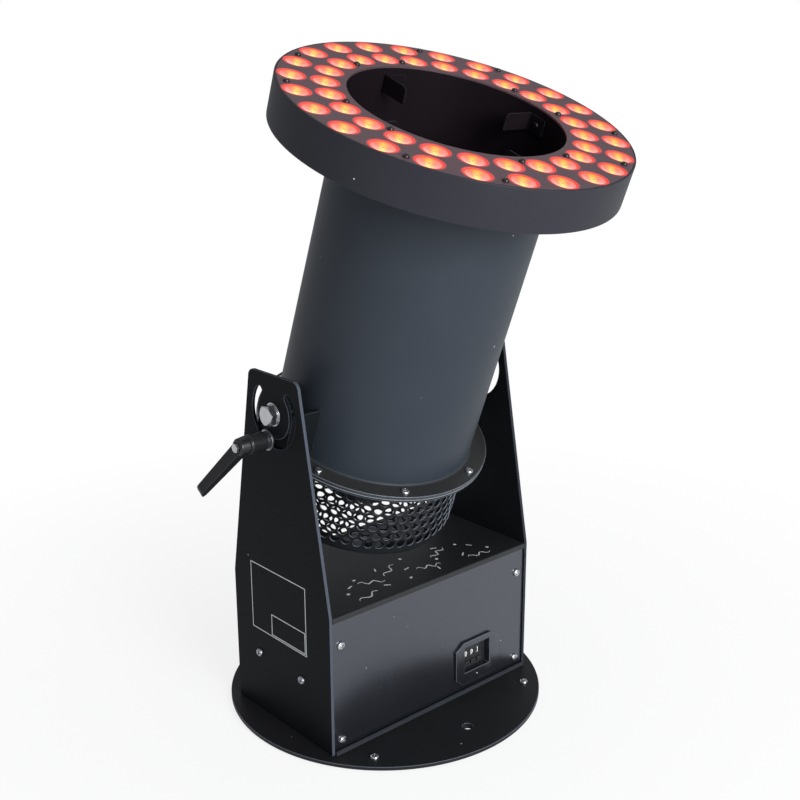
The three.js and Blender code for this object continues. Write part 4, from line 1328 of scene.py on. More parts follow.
@dataclass
class AddressSwitch(Assembly):
    """The address switch: bezel, housing, three numbered wheels and their buttons."""

    shown: tuple[int, ...] = (0, 0, 1)
    digits: int = 10
    wheel_steps: int = 48
    wheel_bore: float = 1.5 * MM
    wheel_edge: float = 0.3 * MM
    digit_size: float = 6.4 * MM
    digit_bold: float = 0.07 * MM
    digit_lift: float = 0.04 * MM
    bands: int = 10
    bezel_edge: float = 0.45 * MM
    housing_edge: float = 0.15 * MM
    button_edge: float = 0.3 * MM
    rivet: tuple[Point, ...] = ((0.0, 0.4 * MM), (0.4 * MM, 0.3 * MM), (0.65 * MM, 0.0), (0.0, 0.0))
    rivet_rise: float = 6.4 * MM
    rivet_sides: int = 16

    def build(self) -> None:
        """Build the switch from its bezel inwards."""
        self.refine("switch_bezel", BEZEL, self.bezel_edge)
        self.refine("switch_housing", PLASTIC, self.housing_edge)
        self.dress("wheel_axle", ZINC)
        for i, shown in enumerate(self.shown, 1):
            self._wheel(i, shown)
            for kind in ("plus", "minus"):
                self.refine(f"{kind}_button_{i}", PLASTIC, self.button_edge, body=f"{kind}_{i}", segments=3)
        bezel, x = self.box("switch_bezel").low, self.box("switch_housing").middle.x
        place = Axis.MINUS_Y.at(x, bezel.y, bezel.z + self.rivet_rise)
        self.piece("bezel_rivet", turned_mesh(self.rivet, self.rivet_sides, closed=False), ZINC, axes=place)

    def _wheel(self, number: int, shown: int) -> None:
        """Build one wheel with its numerals.

        Args:
            number: The wheel's number from the left.
            shown: The numeral that faces the front.
        """
        node, body = f"number_wheel_{number}", f"wheel_{number}"
        box = self.box(node)
        centre, radius, half = box.middle, box.size.z * HALF, box.size.x * HALF
        face = [
            (self.wheel_bore, -half), (radius - self.wheel_edge, -half), (radius, self.wheel_edge - half),
        ]
        profile = face + [(r, -x) for r, x in reversed(face)]
        bm = turned_mesh(profile, self.wheel_steps)
        self.piece(f"{node}_round", bm, WHEEL, [node], body=body, axes=self.along_x(centre.x, 1, centre))
        bm = bmesh.new()
        for digit in range(self.digits):
            turn = math.tau / self.digits * (digit - shown)
            self._digit(bm, digit, turn, radius + self.digit_lift)
        self.piece(f"{node}_numerals", bm, NUMERAL, body=body, axes=Matrix.Translation(centre))

    def _digit(self, bm: BMesh, digit: int, turn: float, radius: float) -> None:
        """Wrap one numeral round the wheel, whose axis is x here.

        Args:
            bm: The mesh that gets the numeral.
            digit: The numeral.
            turn: Its angle from the front, upwards.
            radius: The radius that its face lies at.
        """
        curve = bpy.data.curves.new("digit", "FONT")
        curve.body = str(digit)
        curve.align_x, curve.align_y = "CENTER", "CENTER"
        curve.size = self.digit_size
        curve.offset = self.digit_bold
        holder = show("digit", curve)
        mesh = bpy.data.meshes.new_from_object(holder)
        bpy.data.objects.remove(holder)
        bpy.data.curves.remove(curve)
        unit = bmesh.new()
        unit.from_mesh(mesh)
        bpy.data.meshes.remove(mesh)
        clean(unit)
        levels = [(k / self.bands - HALF) * self.digit_size for k in range(1, self.bands)]
        slice_mesh(unit, levels, Vector((0, 1, 0)))
        thicken(unit, unit.faces[:], -self.digit_lift * 2)
        for vert in unit.verts:
            angle = turn + vert.co.y / radius
            reach = radius + vert.co.z
            vert.co = (vert.co.x, -reach * math.cos(angle), reach * math.sin(angle))
        scatter(bm, unit, [Matrix()])


@dataclass
class RearSockets(Assembly):
    """The mains inlet and the two signal sockets in the rear panel."""

    edge: float = 0.4 * MM
    screw: PanScrew = PanScrew(radius=2.4 * MM, height=1.3 * MM)
    screw_inset: float = 3.2 * MM

    def build(self) -> None:
        """Build the sockets and their screws."""
        self.refine("power_inlet", PLASTIC, self.edge)
        places = []
        for node in ("signal_in_socket", "signal_out_socket"):
            self.refine(node, DARK_METAL, self.edge)
            low, high = self.box(node)
            places += [
                Axis.PLUS_Y.at(low.x + self.screw_inset, high.y, high.z - self.screw_inset),
                Axis.PLUS_Y.at(high.x - self.screw_inset, high.y, low.z + self.screw_inset),
            ]
        self.screws("socket_screws", self.screw, BLACK_SCREW, places)


@dataclass
class Electronics(Assembly):
    """What sits inside the box."""

    supply_edge: float = 0.8 * MM
    board_edge: float = 0.2 * MM

    def build(self) -> None:
        """Build the power supply and the control board."""
        self.refine("power_supply", ALUMINIUM, self.supply_edge)
        self.refine("control_board", BOARD, self.board_edge)


@dataclass
class Barrel(Assembly):
    """The barrel tube with its flange, the mouth clips and the trunnion brackets."""

    radius: float = 94.0 * MM
    wall: float = 2.0 * MM
    flange: float = 3.0 * MM
    flange_edge: float = 0.6 * MM
    bead: float = 2.4 * MM
    screw_circle: float = 103.0 * MM
    screw_count: int = 8
    sides: int = 160
    bracket_edge: float = 0.5 * MM

    def build(self) -> None:
        """Build the barrel."""
        self._tube()
        MouthClips(self.nodes, self.groups, self.place, self.body).build(self.radius - self.wall)
        for side in ("left", "right"):
            self.refine(f"trunnion_bracket_{side}", PLATE_SHADED_COAT, self.bracket_edge)
        seat = self.box("barrel_tube").low.z + self.flange
        angles = [360.0 * (i + HALF) / self.screw_count for i in range(self.screw_count)]
        self.screws("flange_screws", PanScrew(), ZINC, ring_places(self.screw_circle, seat, angles))

    def _tube(self) -> None:
        """Build the tube, with the weld bead that joins its flange.

        Its bore and its flange take darker copies of the coat as painted shade, and the flange's corners
        carry a painted highlight.
        """
        low, high = self.box("barrel_tube")
        seat = low.z + self.flange
        bead = arc(self.bead, 270, 180, 5, (self.radius + self.bead, seat + self.bead))
        rim = rounded([
            (self.radius, low.z), (high.x, low.z), (high.x, seat), (self.radius + self.bead * 2, seat),
        ], self.flange_edge, closed=False)
        inner = self.radius - self.wall
        profile = [(inner, low.z), *rim[1:-1], *bead, (self.radius, high.z), (inner, high.z)]
        bm = turned_mesh(profile, self.sides)
        mark = bm.faces.layers.float.new(EDGE_HIGHLIGHT_LAYER)
        for face in bm.faces:
            middle = face.calc_center_median()
            reach = middle.xy.length
            if reach < self.radius - self.wall * HALF and abs(middle.z) < high.z - MM:
                face.material_index = 1
            elif reach > self.radius + self.bead * HALF:
                face.material_index = 2
                # Painted highlight on the flange's rim corners.
                face[mark] = float(reach > high.x - MM and abs(face.normal.z) > UPRIGHT)
        tube = self.piece("barrel_tube_round", bm, POWDER, ["barrel_tube"])
        for finish in (BORE_SHADED_COAT, FLANGE_SHADED_COAT):
            tube.data.materials.append(finish.material(self.groups))


@dataclass
class MouthClips(Assembly):
    """The four clips in the mouth, each a sheet folded into a blade and a foot that follows the wall."""

    count: int = 4
    gap: float = 0.3 * MM
    reach: float = 30.0 * MM
    foot: float = 18.0 * MM
    sheet: float = 1.5 * MM
    fold: float = 1.6 * MM
    corner: float = 1.2 * MM
    blade_corner: float = 5.0 * MM
    corner_steps: int = 8
    edge: float = 0.25 * MM
    cuts: int = 23
    screw: PanScrew = PanScrew(radius=2.6 * MM, height=1.5 * MM)
    screw_distance: float = 11.0 * MM

    def build(self, bore: float) -> None:
        """Build the clips and their screws.

        Args:
            bore: The radius of the barrel's bore.
        """
        wall = bore - self.gap
        places = []
        for i in range(self.count):
            node, turn = f"mouth_clip_{i + 1}", QUARTER_TURN * i
            box = self.box(node)
            bm = self._flat(box.size.z)
            for vert in bm.verts:
                vert.co = self._folded(vert.co, wall, box.low.z)
            self.piece(f"{node}_folded", bm, BORE_SHADED_COAT, [node], axes=Matrix.Rotation(turn, 4, "Z"))
            spot = Matrix.Translation((wall - self.sheet, 0, box.middle.z))
            around = Matrix.Rotation(turn - self.screw_distance / wall, 4, "Z")
            places.append(around @ spot @ Matrix.Rotation(-QUARTER_TURN, 4, "Y"))
        self.screws("clip_screws", self.screw, BLACK_SCREW, places)

    def _flat(self, height: float) -> BMesh:
        """Cut a clip's flat sheet, in bands where it bends.

        Args:
            height: The sheet's height.

        Returns:
            The sheet, from the blade's free end at x = 0 to the foot's.
        """
        corner = self.blade_corner
        outline = rounded(box_outline((0.0, 0.0), (self.reach + self.foot, height)), self.corner)
        outline = [p for p in outline if p[0] > corner or p[1] < height * HALF]
        outline += arc(corner, 90, 180, self.corner_steps, (corner, height - corner))
        bm = plate_mesh(outline, 0.0, self.sheet)
        first = self.reach - self.fold * 2
        slice_mesh(bm, [first + k * MM for k in range(1, self.cuts + 1)], Vector((1, 0, 0)))
        clean(bm)
        soften(bm, self.edge)
        return bm

    def _folded(self, flat: Vector, wall: float, low: float) -> Vector:
        """Map a point of a clip's flat sheet to its folded place.

        Args:
            flat: Length along the sheet, height, and depth through it.
            wall: The radius that the foot's back lies at.
            low: The clip's lower z.

        Returns:
            The point in the barrel's axes.
        """
        inner = wall - self.sheet
        straight = self.reach - self.sheet - self.fold
        depth = flat.z
        if flat.x <= straight:
            return Vector((wall - self.reach + flat.x, depth, low + flat.y))
        bend = self.fold * QUARTER_TURN
        if flat.x <= straight + bend:
            turn = (flat.x - straight) / self.fold
            reach = self.fold + depth
            x = inner - self.fold + reach * math.sin(turn)
            return Vector((x, reach * math.cos(turn) - self.fold, low + flat.y))
        angle = -(flat.x - straight - bend + self.fold) / inner
        reach = inner + depth
        return Vector((reach * math.cos(angle), reach * math.sin(angle), low + flat.y))


@dataclass
class LedRing(Assembly):
    """The ring round the mouth: its casing, face plate, lenses, board and screws."""

    sheet: float = 1.5 * MM
    casing_bore: float = 94.3 * MM
    leds: int = 24
    phase: float = 9.0
    inner_circle: float = 109.1 * MM
    outer_circle: float = 136.5 * MM
    bore: float = 92.0 * MM
    hole: float = 11.0 * MM
    hole_sides: int = 28
    halo: float = 13.4 * MM
    lens_radius: float = 10.7 * MM
    lens_sides: int = 32
    board_edge: float = 0.2 * MM
    screw: PanScrew = PanScrew(radius=2.7 * MM, height=2.0 * MM)
    screw_phase: float = 2.2
    inner_screws: float = 101.5 * MM
    outer_screws: float = 141.5 * MM
    edge: float = 0.9 * MM
    sides: int = 192
    # A lens in section, as shares of its radius: a small dome in a shallow cup with a raised rim.
    lens_section: tuple[Point, ...] = (
        (0.0, -0.1), (0.07, -0.105), (0.14, -0.12), (0.21, -0.15), (0.27, -0.18), (0.34, -0.185),
        (0.42, -0.18), (0.5, -0.17), (0.58, -0.155), (0.66, -0.135), (0.74, -0.11), (0.82, -0.08),
        (0.89, -0.05), (0.94, -0.035), (1.0, -0.06), (1.0, -0.38), (0.0, -0.38),
    )

    def build(self) -> None:
        """Build the ring."""
        self._casing()
        self._face()
        self._lenses()
        self.refine("led_board", BOARD, self.board_edge)
        outer = [a + self.screw_phase for a in range(0, 360, 30) if a % 90]
        inner = [a + side + self.screw_phase for a in range(0, 360, 90) for side in (-15.0, 15.0)]
        top = self.box("ring_face").high.z
        places = ring_places(self.outer_screws, top, outer) + ring_places(self.inner_screws, top, inner)
        self.screws("ring_face_screws", self.screw, BLACK_SCREW, places)

    def _angles(self) -> list[float]:
        """Return the angles of the LEDs in degrees."""
        return [self.phase + 360.0 * i / self.leds for i in range(self.leds)]

    def _casing(self) -> None:
        """Build the channel that carries the ring."""
        low, high = self.box("ring_casing")
        collar = self.box("barrel_tube").high.z
        bore, web, inner = self.casing_bore, self.casing_bore + self.sheet, high.x - self.sheet
        outer = rounded(
            [(web, low.z), (high.x, low.z), (high.x, high.z), (inner, high.z)], self.edge, 4, closed=False,
        )
        floor = low.z + self.sheet
        profile = [(bore, low.z), *outer[1:], (inner, floor), (web, floor), (web, collar), (bore, collar)]
        self.piece("ring_casing_round", turned_mesh(profile, self.sides), RING_SHADED_COAT, ["ring_casing"])

    def _face(self) -> None:
        """Build the face plate in like sectors, with a band round each hole where a red glow is painted."""
        low, high = self.box("ring_face")
        half, steps = 180.0 / self.leds, self.sides // self.leds
        outline = arc(high.x, -half, half, steps) + arc(self.bore, half, -half, steps // 2)
        spots = ((self.inner_circle, 0.0), (self.outer_circle, 0.0))
        unit = bmesh.new()
        glow = unit.verts.layers.float.new(PAINTED_GLOW_LAYER)
        halos = [circle(self.halo, self.hole_sides, spot) for spot in spots]
        sheet_faces(unit, outline, halos, high.z)
        for spot in spots:
            rim = [
                e for e in unit.edges
                if all(abs((v.co.xy - Vector(spot)).length - self.halo) < NEAR for v in e.verts)
            ]
            hole = loop(unit, circle(self.hole, self.hole_sides, spot), high.z)
            # Painted glow: full at each hole's rim, fading to none at the band's outer edge.
            for vert in {v for e in hole for v in e.verts}:
                vert[glow] = 1.0
            bmesh.ops.bridge_loops(unit, edges=rim + hole)
        bm = bmesh.new()
        bm.verts.layers.float.new(PAINTED_GLOW_LAYER)
        scatter(bm, unit, ring_places(0.0, 0.0, self._angles()))
        bmesh.ops.remove_doubles(bm, verts=bm.verts, dist=NEAR)
        thicken(bm, bm.faces[:], low.z - high.z)
        self.piece("ring_face_plate", bm, RING_FACE, ["ring_face"])

    def _lenses(self) -> None:
        """Build all the lenses and paint the light in them."""
        top, radius = self.box("ring_face").high.z, self.lens_radius
        section = [(r * radius, z * radius) for r, z in self.lens_section]
        unit = turned_mesh(section, self.lens_sides, closed=False)
        places = []
        for circle_radius in (self.inner_circle, self.outer_circle):
            places += ring_places(circle_radius, top, self._angles())
        bm = bmesh.new()
        scatter(bm, unit, places)
        centres = KDTree(len(places))
        for i, place in enumerate(places):
            centres.insert((*place.translation.xy, 0.0), i)
        centres.balance()
        paint = bm.verts.layers.float_color.new(LIGHT_LAYER)
        for vert in bm.verts:
            centre = centres.find((*vert.co.xy, 0.0))[0]
            vert[paint] = opaque(self._light((vert.co.xy - centre.xy) / radius))
        self.piece("led_lenses", bm, LENS, ["lens_plate"])

    @staticmethod
    def _light(offset: Vector) -> Color:
        """Return the painted light's color at a point of a lens: soft spots over red, in a dark red rim.

        Args:
            offset: The point's place from the lens's centre, in lens radii.

        Returns:
            The color.
        """
        # The LED's own light, painted: its spots are laid out across and along the camera's view, so they
        # are painted highlights fixed for that view.
        spots = (
            # place across and away from the front, width, depth, strength, color
            (-0.6, 0.0, 0.26, 0.36, 0.7, (1.0, 0.42, 0.36)),
            (0.6, 0.0, 0.26, 0.36, 0.7, (1.0, 0.38, 0.32)),
            (0.0, 0.75, 0.6, 0.3, 1.0, (1.0, 0.24, 0.02)),
            (-0.4, -0.5, 0.3, 0.28, 1.0, (1.0, 0.62, 0.52)),
            (0.42, -0.5, 0.3, 0.28, 1.0, (1.0, 0.56, 0.46)),
            (0.0, -0.3, 0.29, 0.66, 1.0, (1.0, 0.9, 0.26)),
            (0.0, 0.42, 0.24, 0.38, 0.95, (1.0, 0.66, 0.08)),
            (0.03, 0.05, 0.12, 0.13, 0.9, (0.36, 0.2, 0.03)),
        )
        cos_view, sin_view = 0.75, 0.66
        across = offset.x * cos_view - offset.y * sin_view
        away = offset.x * sin_view + offset.y * cos_view
        color = Vector((0.84, 0.15, 0.11))
        for x, y, width, depth, strength, tint in spots:
            share = strength * math.exp(-((across - x) / width) ** 2 - ((away - y) / depth) ** 2)
            color = color.lerp(Vector(tint), share)
        rim_start, rim_width, rim_color = 0.86, 0.1, Vector((0.8, 0.025, 0.012))
        rim = min(1.0, max(0.0, (offset.length - rim_start) / rim_width))
        return tuple(color.lerp(rim_color, rim))


@dataclass
class Pivot(Assembly):
    """The bolts and washers that the barrel tilts on, and the guide bolt in the right slot."""

    bolt: HexBolt = HexBolt(5.0 * MM, HexHead(9.8 * MM, 6.4 * MM))
    guide: HexBolt = HexBolt(4.0 * MM, HexHead(7.2 * MM, 3.7 * MM), flange=9.0 * MM)
    washer_bore: float = 5.3 * MM
    washer_sheet: float = 0.9 * MM
    washer_edge: float = 0.2 * MM
    spring_radius: float = 8.6 * MM
    sides: int = 48

    def build(self) -> None:
        """Build both pivots and the guide bolt."""
        for side, name in ((-1, "left"), (1, "right")):
            self._washer(f"pivot_washer_{name}", side)
            self._bolt(f"pivot_bolt_{name}", side, self.bolt)
        self._bolt("guide_bolt", 1, self.guide)

    def _washer(self, node: str, side: int) -> None:
        """Build a flat washer with a spring washer on it.

        Args:
            node: The CAD washer that it stands for.
            side: -1 for the left, 1 for the right.
        """
        box, sheet = self.box(node), self.washer_sheet
        bm = bmesh.new()
        for radius, low, high in ((box.size.z * HALF, 0.0, sheet), (self.spring_radius, sheet, box.size.x)):
            ring = box_outline((self.washer_bore, low), (radius, high))
            revolve(bm, rounded(ring, self.washer_edge), self.sides)
        seat = box.high.x if side < 0 else box.low.x
        self.piece(f"{node}_pair", bm, ZINC, [node], axes=self.along_x(seat, side, box.middle))

    def _bolt(self, node: str, side: int, kind: HexBolt) -> None:
        """Build a hexagon bolt with its head outwards.

        Args:
            node: The CAD bolt that it stands for.
            side: -1 for the left, 1 for the right.
            kind: The bolt.
        """
        box = self.box(node)
        start = box.high.x if side < 0 else box.low.x
        axes = self.along_x(start, side, box.middle)
        self.piece(f"{node}_hex", kind.build(box.size.x), ZINC, [node], axes=axes)


@dataclass
class ClampLever(Assembly):
    """The clamp on the left: stud, washer, toothed insert, screw and cast handle."""

    stud: float = 4.0 * MM
    stud_point: float = 0.5 * MM
    washer: float = 9.5 * MM
    thread_bore: float = 4.3 * MM
    turned_edge: float = 0.25 * MM
    collar: float = 8.0 * MM
    collar_length: float = 2.4 * MM
    insert: float = 6.2 * MM
    screw: float = 2.5 * MM
    screw_bore: float = 2.8 * MM
    screw_bore_length: float = 6.0 * MM
    head: HexHead = HexHead(4.5 * MM, 4.5 * MM)
    hub: float = 8.8 * MM
    hub_end: float = 7.6 * MM
    hub_length: float = 27.5 * MM
    hub_edge: float = 0.5 * MM
    groove: float = 17.0 * MM
    groove_depth: float = 0.9 * MM
    arm_reach: float = 59.2 * MM
    arm_rise: float = 21.2 * MM
    arm_root: float = 11.0 * MM
    arm_tip: float = 7.0 * MM
    arm_corner: float = 2.4 * MM
    arm_edge: float = 1.3 * MM
    arm_turn: float = 36.0
    root_width: float = 12.0 * MM
    tip_width: float = 9.0 * MM
    voxel: float = 0.55 * MM
    smoothings: int = 4
    sides: int = 48
    stud_sides: int = 32
    insert_sides: int = 40
    screw_sides: int = 20
    # The handle's bore in section: room for the insert, the screw's neck and its head.
    bore_section: tuple[Point, ...] = (
        (0.0, -2.0 * MM), (6.5 * MM, -2.0 * MM), (6.5 * MM, 20.2 * MM), (2.8 * MM, 20.2 * MM),
        (2.8 * MM, 21.9 * MM), (4.9 * MM, 21.9 * MM), (4.9 * MM, 52.5 * MM), (0.0, 52.5 * MM),
    )

    def build(self) -> None:
        """Build the clamp."""
        self._stud()
        self._washer()
        self._insert()
        self._screw()
        handle, stud = self.box("lever_handle"), self.box("clamp_stud")
        place = Matrix.Translation((handle.high.x, 0.0, stud.middle.z))
        self.piece("lever_handle_cast", self._handle(), CASTING, ["lever_handle"], body="lever_grip",
                   axes=place, smooth=50.0)

    def _turned(self, node: str, finish: Finish, bm: BMesh, body: str = "barrel") -> None:
        """Lay a turned piece from a node's inner end outwards.

        Args:
            node: The CAD node that it stands for.
            finish: Its finish.
            bm: The shape, with its axis along z.
            body: The body that it rides on.
        """
        box = self.box(node)
        axes = self.along_x(box.high.x, -1, box.middle)
        self.piece(f"{node}_turned", bm, finish, [node], body=body, axes=axes)

    def _stud(self) -> None:
        """Build the plain stud with its chamfered ends."""
        length, point = self.box("clamp_stud").size.x, self.stud_point
        profile = [
            (0.0, 0.0), (self.stud - point, 0.0), (self.stud, point), (self.stud, length - point),
            (self.stud - point, length), (0.0, length),
        ]
        self._turned("clamp_stud", ZINC, turned_mesh(profile, self.stud_sides, closed=False))

    def _washer(self) -> None:
        """Build the flat washer."""
        ring = box_outline((self.thread_bore, 0.0), (self.washer, self.box("clamp_washer").size.x))
        self._turned("clamp_washer", ALUMINIUM, turned_mesh(rounded(ring, self.turned_edge), self.sides))

    def _insert(self) -> None:
        """Build the insert with its collar; the handle hides its teeth."""
        length = self.box("lever_insert").size.x
        step = length - self.screw_bore_length
        ring = [
            (self.thread_bore, 0.0), (self.collar, 0.0), (self.collar, self.collar_length),
            (self.insert, self.collar_length), (self.insert, length), (self.screw_bore, length),
            (self.screw_bore, step), (self.thread_bore, step),
        ]
        bm = turned_mesh(rounded(ring, self.turned_edge, 2), self.insert_sides)
        self._turned("lever_insert", DARK_METAL, bm, "lever_core")

    def _screw(self) -> None:
        """Build the screw that holds the handle, with its hexagon head at the outer end."""
        seat = self.box("lever_screw").size.x - self.head.height
        profile = [(0.0, 0.0), (self.screw, 0.0), (self.screw, seat), (0.0, seat)]
        bm = turned_mesh(profile, self.screw_sides, closed=False)
        scatter(bm, self.head.build(), [Matrix.Translation((0, 0, seat))])
        self._turned("lever_screw", ZINC, bm, "lever_core")

    def _handle(self) -> BMesh:
        """Cast the handle: hub and arm fused into one smooth skin, then bored.

        Returns:
            The handle, with its hub's inner end at the origin and its axis along -x.
        """
        to_left = Matrix.Rotation(-QUARTER_TURN, 4, "Y")
        bm = self._hub()
        bm.transform(to_left)
        scatter(bm, self._arm(), [self._arm_axes()])
        clean(bm)
        skin = mesh_object("fused", bm)
        remesh = skin.modifiers.new("skin", "REMESH")
        remesh.mode = "VOXEL"
        remesh.voxel_size = self.voxel
        smooth = skin.modifiers.new("smooth", "SMOOTH")
        smooth.factor = HALF
        smooth.iterations = self.smoothings
        cutter = turned_mesh(self.bore_section, self.insert_sides, closed=False)
        cutter.transform(to_left)
        tool = mesh_object("cutter", cutter)
        bore = skin.modifiers.new("bore", "BOOLEAN")
        bore.operation = "DIFFERENCE"
        bore.solver = "EXACT"
        bore.object = tool
        bpy.context.view_layer.update()
        made = bpy.data.meshes.new_from_object(skin.evaluated_get(bpy.context.evaluated_depsgraph_get()))
        bm = bmesh.new()
        bm.from_mesh(made)
        for thing in (skin, tool):
            bpy.data.objects.remove(thing)
        bpy.data.meshes.remove(made)
        return bm

    def _hub(self) -> BMesh:
        """Turn the hub, with a groove round it.

        Returns:
            The hub, along z.
        """
        length, edge = self.hub_length, self.hub_edge
        inner = self.hub - self.groove_depth
        profile = [
            (0.0, 0.0), (self.hub - edge, 0.0), (self.hub, edge), (self.hub, self.groove - MM),
            (inner, self.groove - edge), (inner, self.groove + edge), (self.hub, self.groove + MM),
            (self.hub_end, length - MM), (self.hub_end - MM, length), (0.0, length),
        ]
        return turned_mesh(profile, self.sides, closed=False)

    def _arm(self) -> BMesh:
        """Cut the arm in side view and narrow it to its tip.

        Returns:
            The arm, reaching along x and rising along y.
        """
        length, top, tip = self.hub_length, self.hub_length + self.arm_rise, self.arm_tip
        side_view = rounded([
            (0.0, length - self.arm_root), (0.0, length), (self.arm_reach - tip, top),
            (self.arm_reach, top - tip * HALF), (self.arm_reach - tip * HALF, top - tip),
        ], self.arm_corner)
        arm = plate_mesh(side_view, -self.root_width * HALF, self.root_width * HALF)
        for vert in arm.verts:
            share = vert.co.x / self.arm_reach
            vert.co.z *= 1.0 + (self.tip_width / self.root_width - 1.0) * share
        soften(arm, self.arm_edge, 3)
        return arm

    def _arm_axes(self) -> Matrix:
        """Return how the arm's side view lies in the barrel's axes, as clamped in the photograph."""
        turn = math.radians(self.arm_turn) - self.place.to_euler().x
        outward = Vector((0.0, math.sin(turn), -math.cos(turn)))
        rise = Vector((-1.0, 0.0, 0.0))
        return Matrix((outward, rise, outward.cross(rise))).transposed().to_4x4()


@dataclass
class Fan(Assembly):
    """The fan in the barrel's lower end: spider, motor, end cap, shaft, impeller and guard."""

    sheet_edge: float = 0.4 * MM
    blade_edge: float = 0.35 * MM
    shaft_bore: float = 5.3 * MM
    motor_radius: float = 42.0 * MM
    motor_edge: float = 1.5 * MM
    groove_inset: float = 8.0 * MM
    groove_depth: float = 0.8 * MM
    groove_half: float = 0.6 * MM
    cap_radius: float = 38.0 * MM
    cap_edge: float = 1.0 * MM
    vents: int = 6
    vent_circle: float = 24.0 * MM
    vent_radius: float = 3.0 * MM
    vent_sides: int = 20
    shaft_edge: float = 0.6 * MM
    shaft_sides: int = 32
    sides: int = 64

    def build(self) -> None:
        """Build the fan."""
        self.refine("motor_spider", DARK_METAL, self.sheet_edge)
        self.refine("fan_guard", DARK_METAL, self.sheet_edge)
        self.refine("impeller", PLASTIC, self.blade_edge, body="fan", sharper_than=60.0)
        self._motor()
        self._end_cap()
        self._shaft()

    def _motor(self) -> None:
        """Build the motor's can, with two grooves round it."""
        low, high = self.box("fan_motor")
        radius = self.motor_radius
        outer = rounded(box_outline((self.shaft_bore, low.z), (radius, high.z)), self.motor_edge)
        inner, half = radius - self.groove_depth, self.groove_half
        groove = [(radius, -MM), (inner, -half), (inner, half), (radius, MM)]
        levels = (low.z + self.groove_inset, high.z - self.groove_inset)
        grooves = [(reach, level + rise) for level in levels for reach, rise in groove]
        split = 1 + next(i for i, p in enumerate(outer) if p[0] >= radius - SAME)
        bm = turned_mesh(outer[:split] + grooves + outer[split:], self.sides)
        self.piece("fan_motor_can", bm, ALUMINIUM, ["fan_motor"])

    def _end_cap(self) -> None:
        """Build the motor's vented end cap."""
        low, high = self.box("motor_end_cap")
        holes = [circle(self.vent_radius, self.vent_sides, p) for p in circle(self.vent_circle, self.vents)]
        bm = plate_mesh(circle(self.cap_radius, self.sides), low.z, high.z, holes)
        soften(bm, self.cap_edge, 3)
        self.piece("motor_end_cap_vented", bm, DARK_METAL, ["motor_end_cap"])

    def _shaft(self) -> None:
        """Build the motor's shaft."""
        low, high = self.box("motor_shaft")
        radius, edge = high.x, self.shaft_edge
        profile = [
            (0.0, low.z), (radius, low.z), (radius, high.z - edge), (radius - edge, high.z), (0.0, high.z),
        ]
        bm = turned_mesh(profile, self.shaft_sides, closed=False)
        self.piece("motor_shaft_turned", bm, ZINC, ["motor_shaft"], body="fan")


